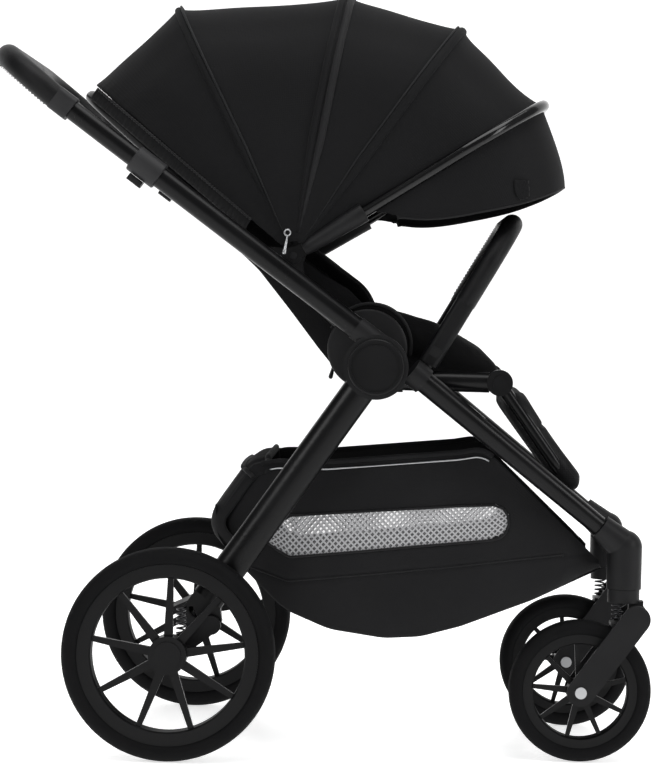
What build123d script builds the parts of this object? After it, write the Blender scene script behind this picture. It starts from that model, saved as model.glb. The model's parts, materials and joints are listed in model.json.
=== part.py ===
from build123d import *
import math
import os

os.makedirs("parts", exist_ok=True)

# Baby stroller. X points forward, Z up, +Y to the left; the floor is Z = 0.
# Sizes are millimetres.

# ---- driving dimensions: wheels ----
rear_axle_x = -201.0
rear_wheel_radius = 145.0
rear_track = 560.0
rear_tyre_width = 46.0
rear_tyre_height = 22.0
front_axle_x = 362.0
front_wheel_radius = 98.3
front_track = 352.0
front_tyre_width = 38.0
front_tyre_height = 19.0
spoke_count = 9

# ---- driving dimensions: frame ----
hub_x = 70.0
hub_z = 540.0
hub_disc_radius = 38.0
hub_pin_radius = 8.0
tube_offset = 26.0
handle_angle = 144.0
handle_y = 263.0
handle_tube_radius = 14.7
slider_radius = 13.4
collar_reach = 388.0
collar_length = 44.0
grip_joint_reach = 538.0
grip_reach = 660.0
grip_radius = 16.5
front_leg_y = 230.0
front_leg_radius = 15.6
front_leg_end_radius = 13.6
front_leg_wall = 1.8
rear_leg_y = 231.0
rear_leg_width = 44.0
rear_leg_thickness = 28.0
rear_leg_wall = 1.8
rear_leg_length = 392.0

# ---- driving dimensions: casters ----
caster_x = 419.0
caster_top_z = 298.0
caster_split_z = 240.8
caster_barrel_radius = 24.0
caster_pin_radius = 8.0
fork_pivot_x = 436.0
fork_pivot_z = 201.0
fork_width = 38.0
fork_plate = 7.0
axle_bolt_radius = 4.0

# ---- driving dimensions: seat ----
seat_pivot_x = 57.0
seat_pivot_z = 563.0
seat_hub_radius = 55.0
seat_hub_thickness = 15.0
seat_rail_y = 184.0
seat_rail_z = 521.0
seat_rail_radius = 14.0
seat_rail_end_x = 226.0
knee_x = 240.0
knee_radius = 18.0
backrest_angle = 139.1
backrest_length = 522.0
backrest_tube_y = 176.0
backrest_tube_radius = 9.0
seat_pad_half_width = 165.0
backrest_pad_half_width = 160.0
calf_angle = -54.0
calf_length = 172.0
calf_tube_radius = 9.0
calf_tube_y = 165.0

# ---- driving dimensions: bumper bar ----
bumper_x = 139.5
bumper_z = 542.0
bumper_angle = 60.0
bumper_reach = 230.0
bumper_bar_radius = 14.5
bumper_adapter_length = 104.0
bumper_adapter_radius = 13.6

# ---- driving dimensions: canopy ----
canopy_x = -47.5
canopy_z = 689.0
canopy_half_width = 211.0
bow_rod_radius = 3.5
front_bow_radius = 8.0
bow_names = ["canopy_bow_rear", "canopy_bow_middle", "canopy_bow_forward", "canopy_front_bow"]
bow_angles = [117.0, 80.1, 55.0, 32.8]
bow_reaches = [381.0, 367.0, 391.0, 408.0]
canopy_rear_angle = 140.8
canopy_rear_reach = 371.0
visor_angle = 15.5
visor_reach = 385.0
fabric_thickness = 2.0

# ---- clearances ----
running_fit = 0.1
soft_gap = 0.4
joint_gap = 0.5


def reach(origin, angle, along, offset=0.0):
    """Side-view point at a distance along a direction, offset to its upper side."""
    turn = math.radians(angle)
    side = -1.0 if math.cos(turn) < 0 else 1.0
    x = origin[0] + along * math.cos(turn) - side * offset * math.sin(turn)
    z = origin[1] + along * math.sin(turn) + side * offset * math.cos(turn)
    return x, z


def place(point, y):
    """Side-view point set at a lateral distance y."""
    return Vector(point[0], y, point[1])


def side_plane(y):
    """Plane that looks along Y, with local x forward and local y up."""
    return Plane.XZ.offset(-y)


def save(builder, name):
    """Label the finished piece and write its file."""
    builder.part.label = name
    export_step(builder.part, f"parts/{name}.step")


sides = {"right": -1.0, "left": 1.0}
hub = (hub_x, hub_z)
seat_pivot = (seat_pivot_x, seat_pivot_z)
canopy_pivot = (canopy_x, canopy_z)
bumper_base = (bumper_x, bumper_z)

# ---- layers across the main hub, from the seat outwards ----
rear_leg_inner = rear_leg_y - rear_leg_thickness / 2
rear_leg_outer = rear_leg_y + rear_leg_thickness / 2
housing_thickness = 13.5
housing_inner = rear_leg_inner - joint_gap - housing_thickness
shell_inner = rear_leg_outer + joint_gap
shell_outer = handle_y + handle_tube_radius + 1.3
cap_inner = shell_outer + joint_gap
cap_thickness = 7.0

# ---- hub housings: seat receiver plate, hinge pin and front leg socket ----
front_leg_start = reach(hub, -38.1, 0.0, tube_offset)
leg_from = place(front_leg_start, front_leg_y)
leg_to = Vector(caster_x, front_track / 2, caster_top_z)
leg_direction = (leg_to - leg_from).normalized()
leg_socket_start = 40.0
leg_socket_length = 24.0
leg_socket_radius = front_leg_radius + 3.4
receiver_width = 20.0
receiver_depth = 9.0
receiver_drop = 12.0

with BuildPart() as hub_housings:
    with BuildSketch(side_plane(housing_inner)):
        with Locations(hub):
            Circle(hub_disc_radius + 2)
    extrude(amount=-housing_thickness)
    with BuildSketch(Plane(leg_from + leg_direction * leg_socket_start, z_dir=leg_direction)):
        Circle(leg_socket_radius)
    extrude(amount=leg_socket_length)
    with BuildSketch(Plane(leg_from + leg_direction * (leg_socket_start + 4), z_dir=leg_direction)):
        Circle(front_leg_radius + running_fit)
    extrude(amount=leg_socket_length, mode=Mode.SUBTRACT)
    with BuildSketch(side_plane(housing_inner)):
        with Locations((hub_x, hub_z - receiver_drop)):
            Rectangle(receiver_width + 1, 100, align=(Align.CENTER, Align.MIN))
    extrude(amount=-receiver_depth, mode=Mode.SUBTRACT)
    with BuildSketch(side_plane(housing_inner + receiver_depth)):
        with Locations(hub):
            Circle(hub_pin_radius)
    extrude(amount=-(cap_inner - housing_inner - receiver_depth))
    mirror(about=Plane.XZ)
save(hub_housings, "hub_housings")

with BuildPart() as hub_caps:
    with BuildSketch(side_plane(cap_inner)):
        with Locations(hub):
            Circle(hub_disc_radius)
    extrude(amount=-cap_thickness)
    fillet(hub_caps.faces().sort_by(Axis.Y)[-1].edges(), radius=2.0)
    with BuildSketch(side_plane(cap_inner + cap_thickness)):
        with Locations(hub):
            Circle(hub_disc_radius - 4.5)
            Circle(hub_disc_radius - 8, mode=Mode.SUBTRACT)
    extrude(amount=1.6, mode=Mode.SUBTRACT)
    mirror(about=Plane.XZ)
save(hub_caps, "hub_caps")

# ---- front legs: tapered tubes from the hub sockets to the caster elbows ----
leg_span = (leg_to - leg_from).length
leg_tube_start = leg_socket_start + 4
elbow_reach = 46.0
leg_tube_end = leg_span - elbow_reach + 16

with BuildPart() as front_legs:
    for radius, mode in ((0.0, Mode.ADD), (front_leg_wall, Mode.SUBTRACT)):
        with BuildSketch(Plane(leg_from + leg_direction * leg_tube_start, z_dir=leg_direction)):
            Circle(front_leg_radius - radius)
        with BuildSketch(Plane(leg_from + leg_direction * leg_tube_end, z_dir=leg_direction)):
            Circle(front_leg_end_radius - radius)
        loft(mode=mode)
    mirror(about=Plane.XZ)
save(front_legs, "front_legs")

# ---- caster housings: elbow onto the leg and the upright barrel ----
elbow_radius = front_leg_end_radius + 4.4
with BuildPart() as caster_housings:
    with BuildSketch(Plane.XY.offset(caster_split_z)):
        with Locations((caster_x, front_track / 2)):
            Circle(caster_barrel_radius)
    extrude(amount=caster_top_z - caster_split_z)
    with Locations(leg_to):
        Sphere(caster_barrel_radius)
    with BuildSketch(Plane(leg_to, z_dir=leg_direction * -1)):
        Circle(caster_barrel_radius - 1)
    with BuildSketch(Plane(leg_to - leg_direction * elbow_reach, z_dir=leg_direction * -1)):
        Circle(elbow_radius)
    loft()
    with BuildSketch(Plane(leg_to - leg_direction * (elbow_reach - 17), z_dir=leg_direction * -1)):
        Circle(front_leg_end_radius + 0.9)
    extrude(amount=40, mode=Mode.SUBTRACT)
    with BuildSketch(Plane.XY.offset(caster_split_z)):
        with Locations((caster_x, front_track / 2)):
            Circle(caster_pin_radius + running_fit)
    extrude(amount=42, mode=Mode.SUBTRACT)
    mirror(about=Plane.XZ)
save(caster_housings, "caster_housings")

# ---- front crossbar: flat oval beam between the caster elbows ----
crossbar_x = caster_x + 4
crossbar_z = caster_top_z - 10
crossbar_tilt = Plane(origin=(crossbar_x, 0, crossbar_z), x_dir=(1, 0, -1), z_dir=(0, -1, 0))
crossbar_half = front_track / 2 - 8
with BuildPart() as front_crossbar:
    with BuildSketch(crossbar_tilt):
        SlotOverall(46, 20)
    extrude(amount=crossbar_half, both=True)
    for side in sides.values():
        with Locations((caster_x, side * front_track / 2, caster_top_z)):
            Sphere(caster_barrel_radius + 0.6, mode=Mode.SUBTRACT)
            Cylinder(caster_barrel_radius + 0.6, 80, mode=Mode.SUBTRACT,
                     align=(Align.CENTER, Align.CENTER, Align.MAX))
save(front_crossbar, "front_crossbar")

# ---- storage basket: open-topped shell hung between the legs ----
basket_half_width = 180.0
basket_wall = 3.0
basket_rim = [(-94, -134), (-65, -135), (117, -117), (160, -120)]
basket_floor = [(312, -262), (318, -274), (224, -321), (126, -360), (70, -376), (20, -380)]
basket_tail = [(-57, -369), (-121, -343), (-203, -263), (-224, -226), (-187, -158)]
basket_outline = [(hub_x + x, hub_z + z) for x, z in basket_rim + basket_floor + basket_tail]

with BuildPart() as basket:
    with BuildSketch(Plane.XZ) as basket_side:
        with BuildLine():
            Polyline(*basket_outline, close=True)
        make_face()
    extrude(amount=basket_half_width, both=True)
    with BuildSketch(Plane.XZ):
        add(basket_side.sketch_local.face())
        offset(amount=-basket_wall, mode=Mode.REPLACE)
        with BuildLine():
            rim_drop = [(x, z - 12) for x, z in basket_outline[3::-1]]
            rim_lift = [(x, z + 20) for x, z in basket_outline[:4]]
            Polyline(*[(x + (8 if i == 3 else -12 if i == 0 else 0), z)
                       for i, (x, z) in enumerate(rim_drop)], *rim_lift, close=True)
        make_face()
    extrude(amount=basket_half_width - basket_wall, both=True, mode=Mode.SUBTRACT)
save(basket, "basket")

# ---- handle frame: hub shells, tubes and height collars ----
handle_side = Plane(place(reach(hub, handle_angle, 0, tube_offset), handle_y),
                    z_dir=(math.cos(math.radians(handle_angle)), 0, math.sin(math.radians(handle_angle))))
shell_radius = 44.0
shell_sleeve_length = 54.0
handle_tube_start = 30.0
handle_tube_end = collar_reach + 16
collar_radius = handle_tube_radius + 4.3

with BuildPart() as handle_hub_shells:
    with BuildSketch(side_plane(shell_inner)):
        with Locations(hub):
            Circle(shell_radius)
    extrude(amount=-(shell_outer - shell_inner))
    with BuildSketch(handle_side):
        Circle(handle_tube_radius + 1.8)
    extrude(amount=shell_sleeve_length)
    with BuildSketch(side_plane(shell_inner)):
        with Locations(hub):
            Circle(shell_radius + 60)
            Circle(shell_radius - 1, mode=Mode.SUBTRACT)
    extrude(amount=5, mode=Mode.SUBTRACT)
    with BuildSketch(handle_side.offset(handle_tube_start)):
        Circle(handle_tube_radius + 0.02)
    extrude(amount=60, mode=Mode.SUBTRACT)
    with BuildSketch(side_plane(shell_inner - 5)):
        with Locations(hub):
            Circle(hub_pin_radius + running_fit)
    extrude(amount=-60, mode=Mode.SUBTRACT)
    mirror(about=Plane.XZ)
save(handle_hub_shells, "handle_hub_shells")

with BuildPart() as handle_tubes:
    with BuildSketch(handle_side.offset(handle_tube_start)):
        Circle(handle_tube_radius)
        Circle(slider_radius + running_fit, mode=Mode.SUBTRACT)
    extrude(amount=handle_tube_end - handle_tube_start)
    mirror(about=Plane.XZ)
save(handle_tubes, "handle_tubes")

with BuildPart() as height_collars:
    with BuildSketch(handle_side.offset(collar_reach)):
        Circle(collar_radius)
    extrude(amount=collar_length)
    chamfer(height_collars.edges().filter_by(GeomType.CIRCLE), length=1.5)
    with BuildSketch(handle_side.offset(collar_reach)):
        Circle(handle_tube_radius + 0.02)
    extrude(amount=handle_tube_end - collar_reach, mode=Mode.SUBTRACT)
    with BuildSketch(handle_side.offset(collar_reach)):
        Circle(slider_radius + running_fit)
    extrude(amount=collar_length, mode=Mode.SUBTRACT)
    mirror(about=Plane.XZ)
save(height_collars, "height_collars")

# ---- fold triggers: finger blocks that slide under the collars ----
trigger_length = 22.0
trigger_height = 9.5
trigger_top = tube_offset - collar_radius - soft_gap
for side_name, side in sides.items():
    with BuildPart() as fold_trigger:
        corner = reach(hub, handle_angle, collar_reach + 13, trigger_top - trigger_height / 2)
        with BuildSketch(Plane(place(corner, side * handle_y), x_dir=(0, 1, 0), z_dir=handle_side.z_dir)):
            RectangleRounded(18, trigger_height, 2.5)
        extrude(amount=trigger_length)
    save(fold_trigger, f"fold_trigger_{side_name}")

# ---- handlebar: sliders, joints and the padded grip ----
slider_start = collar_reach - 8
slider_end = grip_joint_reach + 12
grip_joint_length = 28.0
with BuildPart() as slider_tubes:
    with BuildSketch(handle_side.offset(slider_start)):
        Circle(slider_radius)
        Circle(slider_radius - 1.4, mode=Mode.SUBTRACT)
    extrude(amount=slider_end - slider_start)
    mirror(about=Plane.XZ)
save(slider_tubes, "slider_tubes")

with BuildPart() as grip_joints:
    with BuildSketch(handle_side.offset(grip_joint_reach)):
        RectangleRounded(34, 35, 9)
    extrude(amount=grip_joint_length)
    with BuildSketch(handle_side.offset(grip_joint_reach)):
        Circle(slider_radius + 0.02)
    extrude(amount=slider_end - grip_joint_reach, mode=Mode.SUBTRACT)
    mirror(about=Plane.XZ)
save(grip_joints, "grip_joints")

grip_start = grip_joint_reach + grip_joint_length
grip_end_offset = tube_offset + 5
grip_corner_radius = 72.0
with BuildPart() as handle_grip:
    with BuildLine() as grip_path:
        low = reach(hub, handle_angle, grip_start, tube_offset)
        high = reach(hub, handle_angle, grip_reach, grip_end_offset)
        FilletPolyline(place(low, -handle_y), place(high, -handle_y), place(high, handle_y),
                       place(low, handle_y), radius=grip_corner_radius)
    with BuildSketch(Plane(grip_path.line @ 0, z_dir=grip_path.line % 0)):
        Circle(grip_radius)
    sweep()
    trim = Plane(handle_side.origin + handle_side.z_dir * (grip_start + 0.02), z_dir=handle_side.z_dir)
    split(bisect_by=trim, keep=Keep.TOP)
save(handle_grip, "handle_grip")

# ---- rear legs: flattened tubes with eyes on the hub pins and suspension housings ----
leg_drop = (rear_axle_x - hub_x, rear_wheel_radius - hub_z)
rear_leg_angle = math.degrees(math.atan2(leg_drop[1], leg_drop[0])) + 360
rear_leg_axis = Vector(leg_drop[0], 0, leg_drop[1]).normalized()
rear_leg_top = Plane(Vector(hub_x, rear_leg_y, hub_z), x_dir=(0, 1, 0), z_dir=rear_leg_axis)
arm_pivot = (rear_axle_x + 55, rear_wheel_radius + 37)
spring_foot = (rear_axle_x + 13, rear_wheel_radius + 15)
spring_head = (rear_axle_x + 25, rear_wheel_radius + 60)
arm_thickness = 12.0
arm_inner = rear_leg_outer - 9
housing_end = arm_inner - joint_gap
arm_pin_radius = 5.0
spring_y = 227.0

with BuildPart() as rear_legs:
    with BuildSketch(rear_leg_top.offset(14)):
        Ellipse(rear_leg_thickness / 2, rear_leg_width / 2)
    extrude(amount=rear_leg_length - 14)
    with BuildSketch(rear_leg_top.offset(34)):
        Ellipse(rear_leg_thickness / 2 - rear_leg_wall, rear_leg_width / 2 - rear_leg_wall)
    extrude(amount=rear_leg_length - 60, mode=Mode.SUBTRACT)
    with BuildSketch(side_plane(rear_leg_inner)):
        with Locations(hub):
            Circle(rear_leg_width / 2)
    extrude(amount=-rear_leg_thickness)
    with BuildSketch(side_plane(rear_leg_inner)):
        with BuildLine():
            Polyline(reach(hub, rear_leg_angle, rear_leg_length, 21),
                     reach(hub, rear_leg_angle, rear_leg_length, -21),
                     (arm_pivot[0] + 14, arm_pivot[1] + 4), (arm_pivot[0] + 4, arm_pivot[1] - 14),
                     (arm_pivot[0] - 12, arm_pivot[1] - 8), (spring_head[0] + 4, spring_head[1] + 1),
                     (spring_head[0] - 9, spring_head[1] + 1), close=True)
        make_face()
    extrude(amount=-(housing_end - rear_leg_inner))
    with BuildSketch(side_plane(rear_leg_inner - 1)):
        with Locations(hub):
            Circle(hub_pin_radius + running_fit)
    extrude(amount=-60, mode=Mode.SUBTRACT)
    with BuildSketch(side_plane(rear_leg_inner + 2)):
        with Locations(arm_pivot):
            Circle(arm_pin_radius + running_fit)
    extrude(amount=-60, mode=Mode.SUBTRACT)
    mirror(about=Plane.XZ)
save(rear_legs, "rear_legs")

rear_bar_radius = 13.0
rear_bar_centre = reach(hub, rear_leg_angle, rear_leg_length + 22, 4)
rear_bar_half = rear_leg_inner
with BuildPart() as rear_crossbar:
    with BuildSketch(side_plane(0)):
        with Locations(rear_bar_centre):
            Circle(rear_bar_radius)
            Circle(rear_bar_radius - 2, mode=Mode.SUBTRACT)
    extrude(amount=rear_bar_half, both=True)
save(rear_crossbar, "rear_crossbar")

# ---- brake pedal: sleeve on the crossbar with a foot plate to the rear ----
pedal_half_width = 45.0
with BuildPart() as brake_pedal:
    with BuildSketch(Plane.XZ):
        with Locations(rear_bar_centre):
            Circle(rear_bar_radius + 5)
        with Locations((rear_bar_centre[0] - 24, rear_bar_centre[1] - 12)):
            SlotOverall(58, 11, rotation=25)
        with Locations(rear_bar_centre):
            Circle(rear_bar_radius + running_fit, mode=Mode.SUBTRACT)
    extrude(amount=pedal_half_width, both=True)
save(brake_pedal, "brake_pedal")

# ---- rear swing arms with their wheel axles, springs, rims and tyres ----
rear_wheel_y = rear_track / 2
rear_axle_radius = 6.0
rear_hub_half = 20.0
rear_axle_end = rear_wheel_y + 8


def coil(start, end, radius, wire, turns):
    """Compression spring between two points."""
    axis = end - start
    with BuildPart() as spring:
        with BuildLine(Plane(start, z_dir=axis)) as helix:
            Helix(pitch=axis.length / turns, height=axis.length, radius=radius)
        with BuildSketch(Plane(helix.line @ 0, z_dir=helix.line % 0)):
            Circle(wire)
        sweep(is_frenet=True)
    return spring


def wheel_tyre(centre, radius, width, height):
    """Tyre with a crowned tread and bulged walls, around the Y axis."""
    bead = radius - height
    shoulder = radius - height * 0.3
    with BuildPart() as tyre:
        with BuildSketch(Plane(centre)):
            with BuildLine():
                Line((bead, -width * 0.36), (bead, width * 0.36))
                ThreePointArc((bead, width * 0.36), (bead + height * 0.35, width * 0.5),
                              (shoulder, width * 0.44))
                ThreePointArc((shoulder, width * 0.44), (radius, 0), (shoulder, -width * 0.44))
                ThreePointArc((shoulder, -width * 0.44), (bead + height * 0.35, -width * 0.5),
                              (bead, -width * 0.36))
            make_face()
        revolve(axis=Axis(centre, (0, 1, 0)))
    return tyre


def wheel_rim(centre, side, seat_radius, hole_radius, width, hub_size, bore, spoke_width, turn):
    """Rim ring, hub and straight spokes as one moulding; side is the outward direction."""
    hub_radius, hub_half, bore_depth = hub_size
    face = Plane(centre, x_dir=(1, 0, 0), z_dir=(0, side, 0))
    with BuildPart() as rim:
        with BuildSketch(Plane(centre)):
            with BuildLine():
                Polyline((seat_radius, -width / 2), (seat_radius, width / 2), (hole_radius + 2, width / 2),
                         (hole_radius, width / 2 - 3), (hole_radius + 4, 0), (hole_radius, 3 - width / 2),
                         (hole_radius + 2, -width / 2), close=True)
            make_face()
        revolve(axis=Axis(centre, (0, 1, 0)))
        with BuildSketch(face.offset(-hub_half)):
            Circle(hub_radius)
        extrude(amount=2 * hub_half)
        with BuildSketch(face.offset(hub_half)):
            Circle(hub_radius * 0.72)
        extrude(amount=2)
        with BuildSketch(face.offset(width * 0.12)):
            with PolarLocations(0, spoke_count, start_angle=turn):
                Polygon((hub_radius * 0.6, -spoke_width * 0.8), (hole_radius + 4, -spoke_width * 0.46),
                        (hole_radius + 4, spoke_width * 0.46), (hub_radius * 0.6, spoke_width * 0.8),
                        align=None)
        extrude(amount=width * 0.22)
        with BuildSketch(face.offset(-hub_half)):
            Circle(bore)
        extrude(amount=bore_depth, mode=Mode.SUBTRACT)
    return rim


for side_name, side in sides.items():
    rear_axle = Vector(rear_axle_x, side * rear_wheel_y, rear_wheel_radius)
    with BuildPart() as rear_arm:
        with BuildSketch(Plane.XZ.offset(-side * arm_inner)):
            with BuildLine():
                Polyline((arm_pivot[0] + 4, arm_pivot[1] - 11), (arm_pivot[0] - 6, arm_pivot[1] + 10),
                         (rear_axle_x - 8, rear_wheel_radius + 14), (rear_axle_x + 8, rear_wheel_radius - 14),
                         close=True)
            make_face()
            with Locations(arm_pivot):
                Circle(13)
            with Locations((rear_axle_x, rear_wheel_radius)):
                Circle(17)
        extrude(amount=-side * arm_thickness)
        with BuildSketch(Plane.XZ.offset(-side * arm_inner)):
            with Locations(arm_pivot):
                Circle(arm_pin_radius)
        extrude(amount=side * (arm_inner - rear_leg_inner - 3))
        with BuildSketch(Plane.XZ.offset(-side * arm_inner)):
            with Locations((rear_axle_x, rear_wheel_radius)):
                Circle(rear_axle_radius)
        extrude(amount=-side * (rear_axle_end - arm_inner))
        with BuildSketch(Plane.XZ.offset(-side * arm_inner)):
            with Locations((spring_foot[0], spring_foot[1] - 6)):
                Circle(8)
        extrude(amount=side * 18)
    save(rear_arm, f"rear_arm_{side_name}")

    foot = Vector(spring_foot[0], side * spring_y, spring_foot[1] + 5)
    head = Vector(spring_head[0], side * spring_y, spring_head[1] - 3)
    save(coil(foot, head, 6.0, 1.3, 6), f"rear_spring_{side_name}")

    rear_seat = rear_wheel_radius - rear_tyre_height
    rear_tyre = wheel_tyre(rear_axle, rear_wheel_radius, rear_tyre_width, rear_tyre_height)
    save(rear_tyre, f"rear_tyre_{side_name}")
    save(wheel_rim(rear_axle, side, rear_seat - 0.1, 104.0, 34.0, (26.0, rear_hub_half, rear_hub_half + 10),
                   rear_axle_radius + running_fit, 8.0, 31.0 * side), f"rear_rim_{side_name}")

# ---- casters: stem, fork, axle bolt, spring, rim and tyre ----
fork_gap = front_tyre_width / 2 + 5
fork_outer = fork_gap + fork_plate
lug_half = 11.0
stem_radius = 22.0
stem_bottom_z = 222.0
spring_x = fork_pivot_x - 25
spring_seat_z = fork_pivot_z - 6
for side_name, side in sides.items():
    caster_y = side * front_track / 2
    with BuildPart() as caster_stem:
        with BuildSketch(Plane.XY.offset(stem_bottom_z)):
            with Locations((caster_x, caster_y)):
                Circle(stem_radius)
        extrude(amount=caster_split_z - joint_gap - stem_bottom_z)
        with BuildSketch(Plane.XY.offset(stem_bottom_z)):
            with Locations((caster_x, caster_y)):
                Circle(caster_pin_radius)
        extrude(amount=caster_split_z + 36 - stem_bottom_z)
        with BuildSketch(side_plane(caster_y)):
            with Locations((fork_pivot_x, fork_pivot_z)):
                Circle(12)
            with Locations((fork_pivot_x, fork_pivot_z + 12)):
                Rectangle(20, 24)
        extrude(amount=lug_half, both=True)
        with BuildSketch(side_plane(caster_y)):
            with Locations((fork_pivot_x, fork_pivot_z)):
                Circle(5 + running_fit)
        extrude(amount=lug_half, both=True, mode=Mode.SUBTRACT)
    save(caster_stem, f"caster_stem_{side_name}")

    arm_line = Vector(front_axle_x - fork_pivot_x, 0, front_wheel_radius - fork_pivot_z)
    arm_tilt = math.degrees(math.atan2(arm_line.Z, arm_line.X))
    fork_middle = ((front_axle_x + fork_pivot_x) / 2, (front_wheel_radius + fork_pivot_z) / 2)
    with BuildPart() as fork:
        for inner in (-fork_outer, fork_gap):
            with BuildSketch(side_plane(caster_y + inner)):
                with Locations(fork_middle):
                    SlotCenterToCenter(arm_line.length, fork_width, rotation=arm_tilt)
            extrude(amount=-fork_plate)
        with BuildSketch(side_plane(caster_y)):
            with Locations((spring_x, spring_seat_z - 3)):
                Rectangle(18, 5)
            with Locations((fork_pivot_x, fork_pivot_z)):
                Circle(5)
        extrude(amount=fork_gap + 1, both=True)
        with BuildSketch(side_plane(caster_y)):
            with Locations((front_axle_x, front_wheel_radius)):
                Circle(axle_bolt_radius + 0.02)
        extrude(amount=fork_outer + 1, both=True, mode=Mode.SUBTRACT)
    save(fork, f"fork_{side_name}")

    with BuildPart() as front_axle:
        with BuildSketch(side_plane(caster_y)):
            with Locations((front_axle_x, front_wheel_radius)):
                Circle(axle_bolt_radius)
        extrude(amount=fork_outer, both=True)
        for inner, thickness in ((fork_outer, -3.0), (-fork_outer, 3.0)):
            with BuildSketch(side_plane(caster_y + inner)):
                with Locations((front_axle_x, front_wheel_radius)):
                    Circle(axle_bolt_radius * 2)
            extrude(amount=thickness)
    save(front_axle, f"front_axle_{side_name}")

    foot = Vector(spring_x, caster_y, spring_seat_z + 1.6)
    head = Vector(spring_x, caster_y, stem_bottom_z - 1.6)
    save(coil(foot, head, 7.0, 1.2, 4), f"fork_spring_{side_name}")

    axle = Vector(front_axle_x, caster_y, front_wheel_radius)
    front_seat = front_wheel_radius - front_tyre_height
    save(wheel_tyre(axle, front_wheel_radius, front_tyre_width, front_tyre_height), f"front_tyre_{side_name}")
    save(wheel_rim(axle, side, front_seat - 0.1, 65.0, 28.0, (17.0, fork_gap - 2.6, 60.0),
                   axle_bolt_radius + running_fit, 6.0, 24.5 * side), f"front_rim_{side_name}")

# ---- seat: hubs with receiver posts and pivot pins, and the rail frame ----
seat_hub_outer = housing_inner - 1.0
seat_hub_inner = seat_hub_outer - seat_hub_thickness
seat_pin_radius = 6.0
rail_start_x = seat_pivot_x + 13
rail_socket = rail_start_x - 8
with BuildPart() as seat_hubs:
    with BuildSketch(side_plane(seat_hub_inner)):
        with Locations(seat_pivot):
            Circle(seat_hub_radius)
    extrude(amount=-seat_hub_thickness)
    fillet(seat_hubs.faces().sort_by(Axis.Y)[-1].edges(), radius=3.0)
    with BuildSketch(Plane.YZ.offset(rail_socket)):
        with Locations((seat_rail_y, seat_rail_z)):
            Circle(seat_rail_radius + 2.6)
    extrude(amount=45)
    with BuildSketch(Plane.YZ.offset(rail_start_x)):
        with Locations((seat_rail_y, seat_rail_z)):
            Circle(seat_rail_radius + 0.02)
    extrude(amount=90, mode=Mode.SUBTRACT)
    with BuildSketch(side_plane(seat_hub_outer)):
        with Locations((hub_x, hub_z - receiver_drop + 1)):
            Rectangle(receiver_width, 46, align=(Align.CENTER, Align.MIN))
    extrude(amount=-(receiver_depth - 1))
    with BuildSketch(side_plane(seat_hub_inner)):
        with Locations(seat_pivot):
            Circle(seat_pin_radius)
    extrude(amount=seat_hub_inner - backrest_tube_y + backrest_tube_radius - 1)
    mirror(about=Plane.XZ)
save(seat_hubs, "seat_hubs")

knee_outer = seat_rail_y + 17
knee_inner = seat_rail_y - 4
seat_cross_x = seat_rail_end_x - 16
with BuildPart() as seat_frame:
    with BuildSketch(Plane.YZ.offset(rail_start_x)):
        with Locations((seat_rail_y, seat_rail_z), (-seat_rail_y, seat_rail_z)):
            Circle(seat_rail_radius)
    extrude(amount=seat_rail_end_x - rail_start_x)
    with BuildSketch(Plane.XZ):
        with Locations((seat_cross_x, seat_rail_z - 4)):
            Circle(9)
    extrude(amount=seat_rail_y, both=True)
    for side in sides.values():
        with BuildSketch(side_plane(side * knee_inner)):
            with Locations((knee_x, seat_rail_z)):
                Circle(knee_radius)
        extrude(amount=-side * (knee_outer - knee_inner))
        with BuildSketch(side_plane(side * knee_outer)):
            with Locations((knee_x, seat_rail_z)):
                Circle(knee_radius * 0.55)
        extrude(amount=-side * 2)
        with BuildSketch(side_plane(side * knee_inner)):
            with Locations((knee_x, seat_rail_z)):
                Circle(5)
        extrude(amount=side * (knee_inner - calf_tube_y + calf_tube_radius - 2))
    for side in sides.values():
        post_foot = reach(bumper_base, bumper_angle, -14)
        post_axis = (math.cos(math.radians(bumper_angle)), 0, math.sin(math.radians(bumper_angle)))
        with BuildSketch(Plane(place(post_foot, side * seat_rail_y), z_dir=post_axis)):
            Circle(bumper_adapter_radius - 3.6)
        extrude(amount=60)
save(seat_frame, "seat_frame")

# ---- bumper bar: two hollow adapters and the padded hoop ----
adapter_base = reach(bumper_base, bumper_angle, 3)
with BuildPart() as bumper_bar:
    with BuildLine() as hoop:
        crown = reach(bumper_base, bumper_angle, bumper_reach)
        foot = reach(bumper_base, bumper_angle, bumper_adapter_length - 4)
        FilletPolyline(place(foot, -seat_rail_y), place(crown, -seat_rail_y), place(crown, seat_rail_y),
                       place(foot, seat_rail_y), radius=80)
    with BuildSketch(Plane(hoop.line @ 0, z_dir=hoop.line % 0)):
        Circle(bumper_bar_radius)
    sweep()
    for side in sides.values():
        base_plane = Plane(place(adapter_base, side * seat_rail_y), x_dir=(0, 1, 0), z_dir=post_axis)
        with BuildSketch(base_plane):
            RectangleRounded(bumper_adapter_radius * 2, bumper_adapter_radius * 2, 8)
        extrude(amount=bumper_adapter_length - 3)
        with BuildSketch(base_plane):
            Circle(bumper_adapter_radius - 3.5)
        extrude(amount=48, mode=Mode.SUBTRACT)
        button_plane = side_plane(side * (seat_rail_y + bumper_adapter_radius))
        button_spot = reach(bumper_base, bumper_angle, 22)
        with BuildSketch(button_plane):
            with Locations(button_spot):
                RectangleRounded(14.4, 14.4, 3.4, rotation=bumper_angle)
        extrude(amount=side * 3.3, mode=Mode.SUBTRACT)
save(bumper_bar, "bumper_bar")

button_travel = 1.8
for side_name, side in sides.items():
    with BuildPart() as bumper_button:
        with BuildSketch(side_plane(side * (seat_rail_y + bumper_adapter_radius - 3.2 + button_travel))):
            with Locations(button_spot):
                RectangleRounded(14, 14, 3, rotation=bumper_angle)
        extrude(amount=-side * 3.4)
    save(bumper_button, f"bumper_button_{side_name}")

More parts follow.
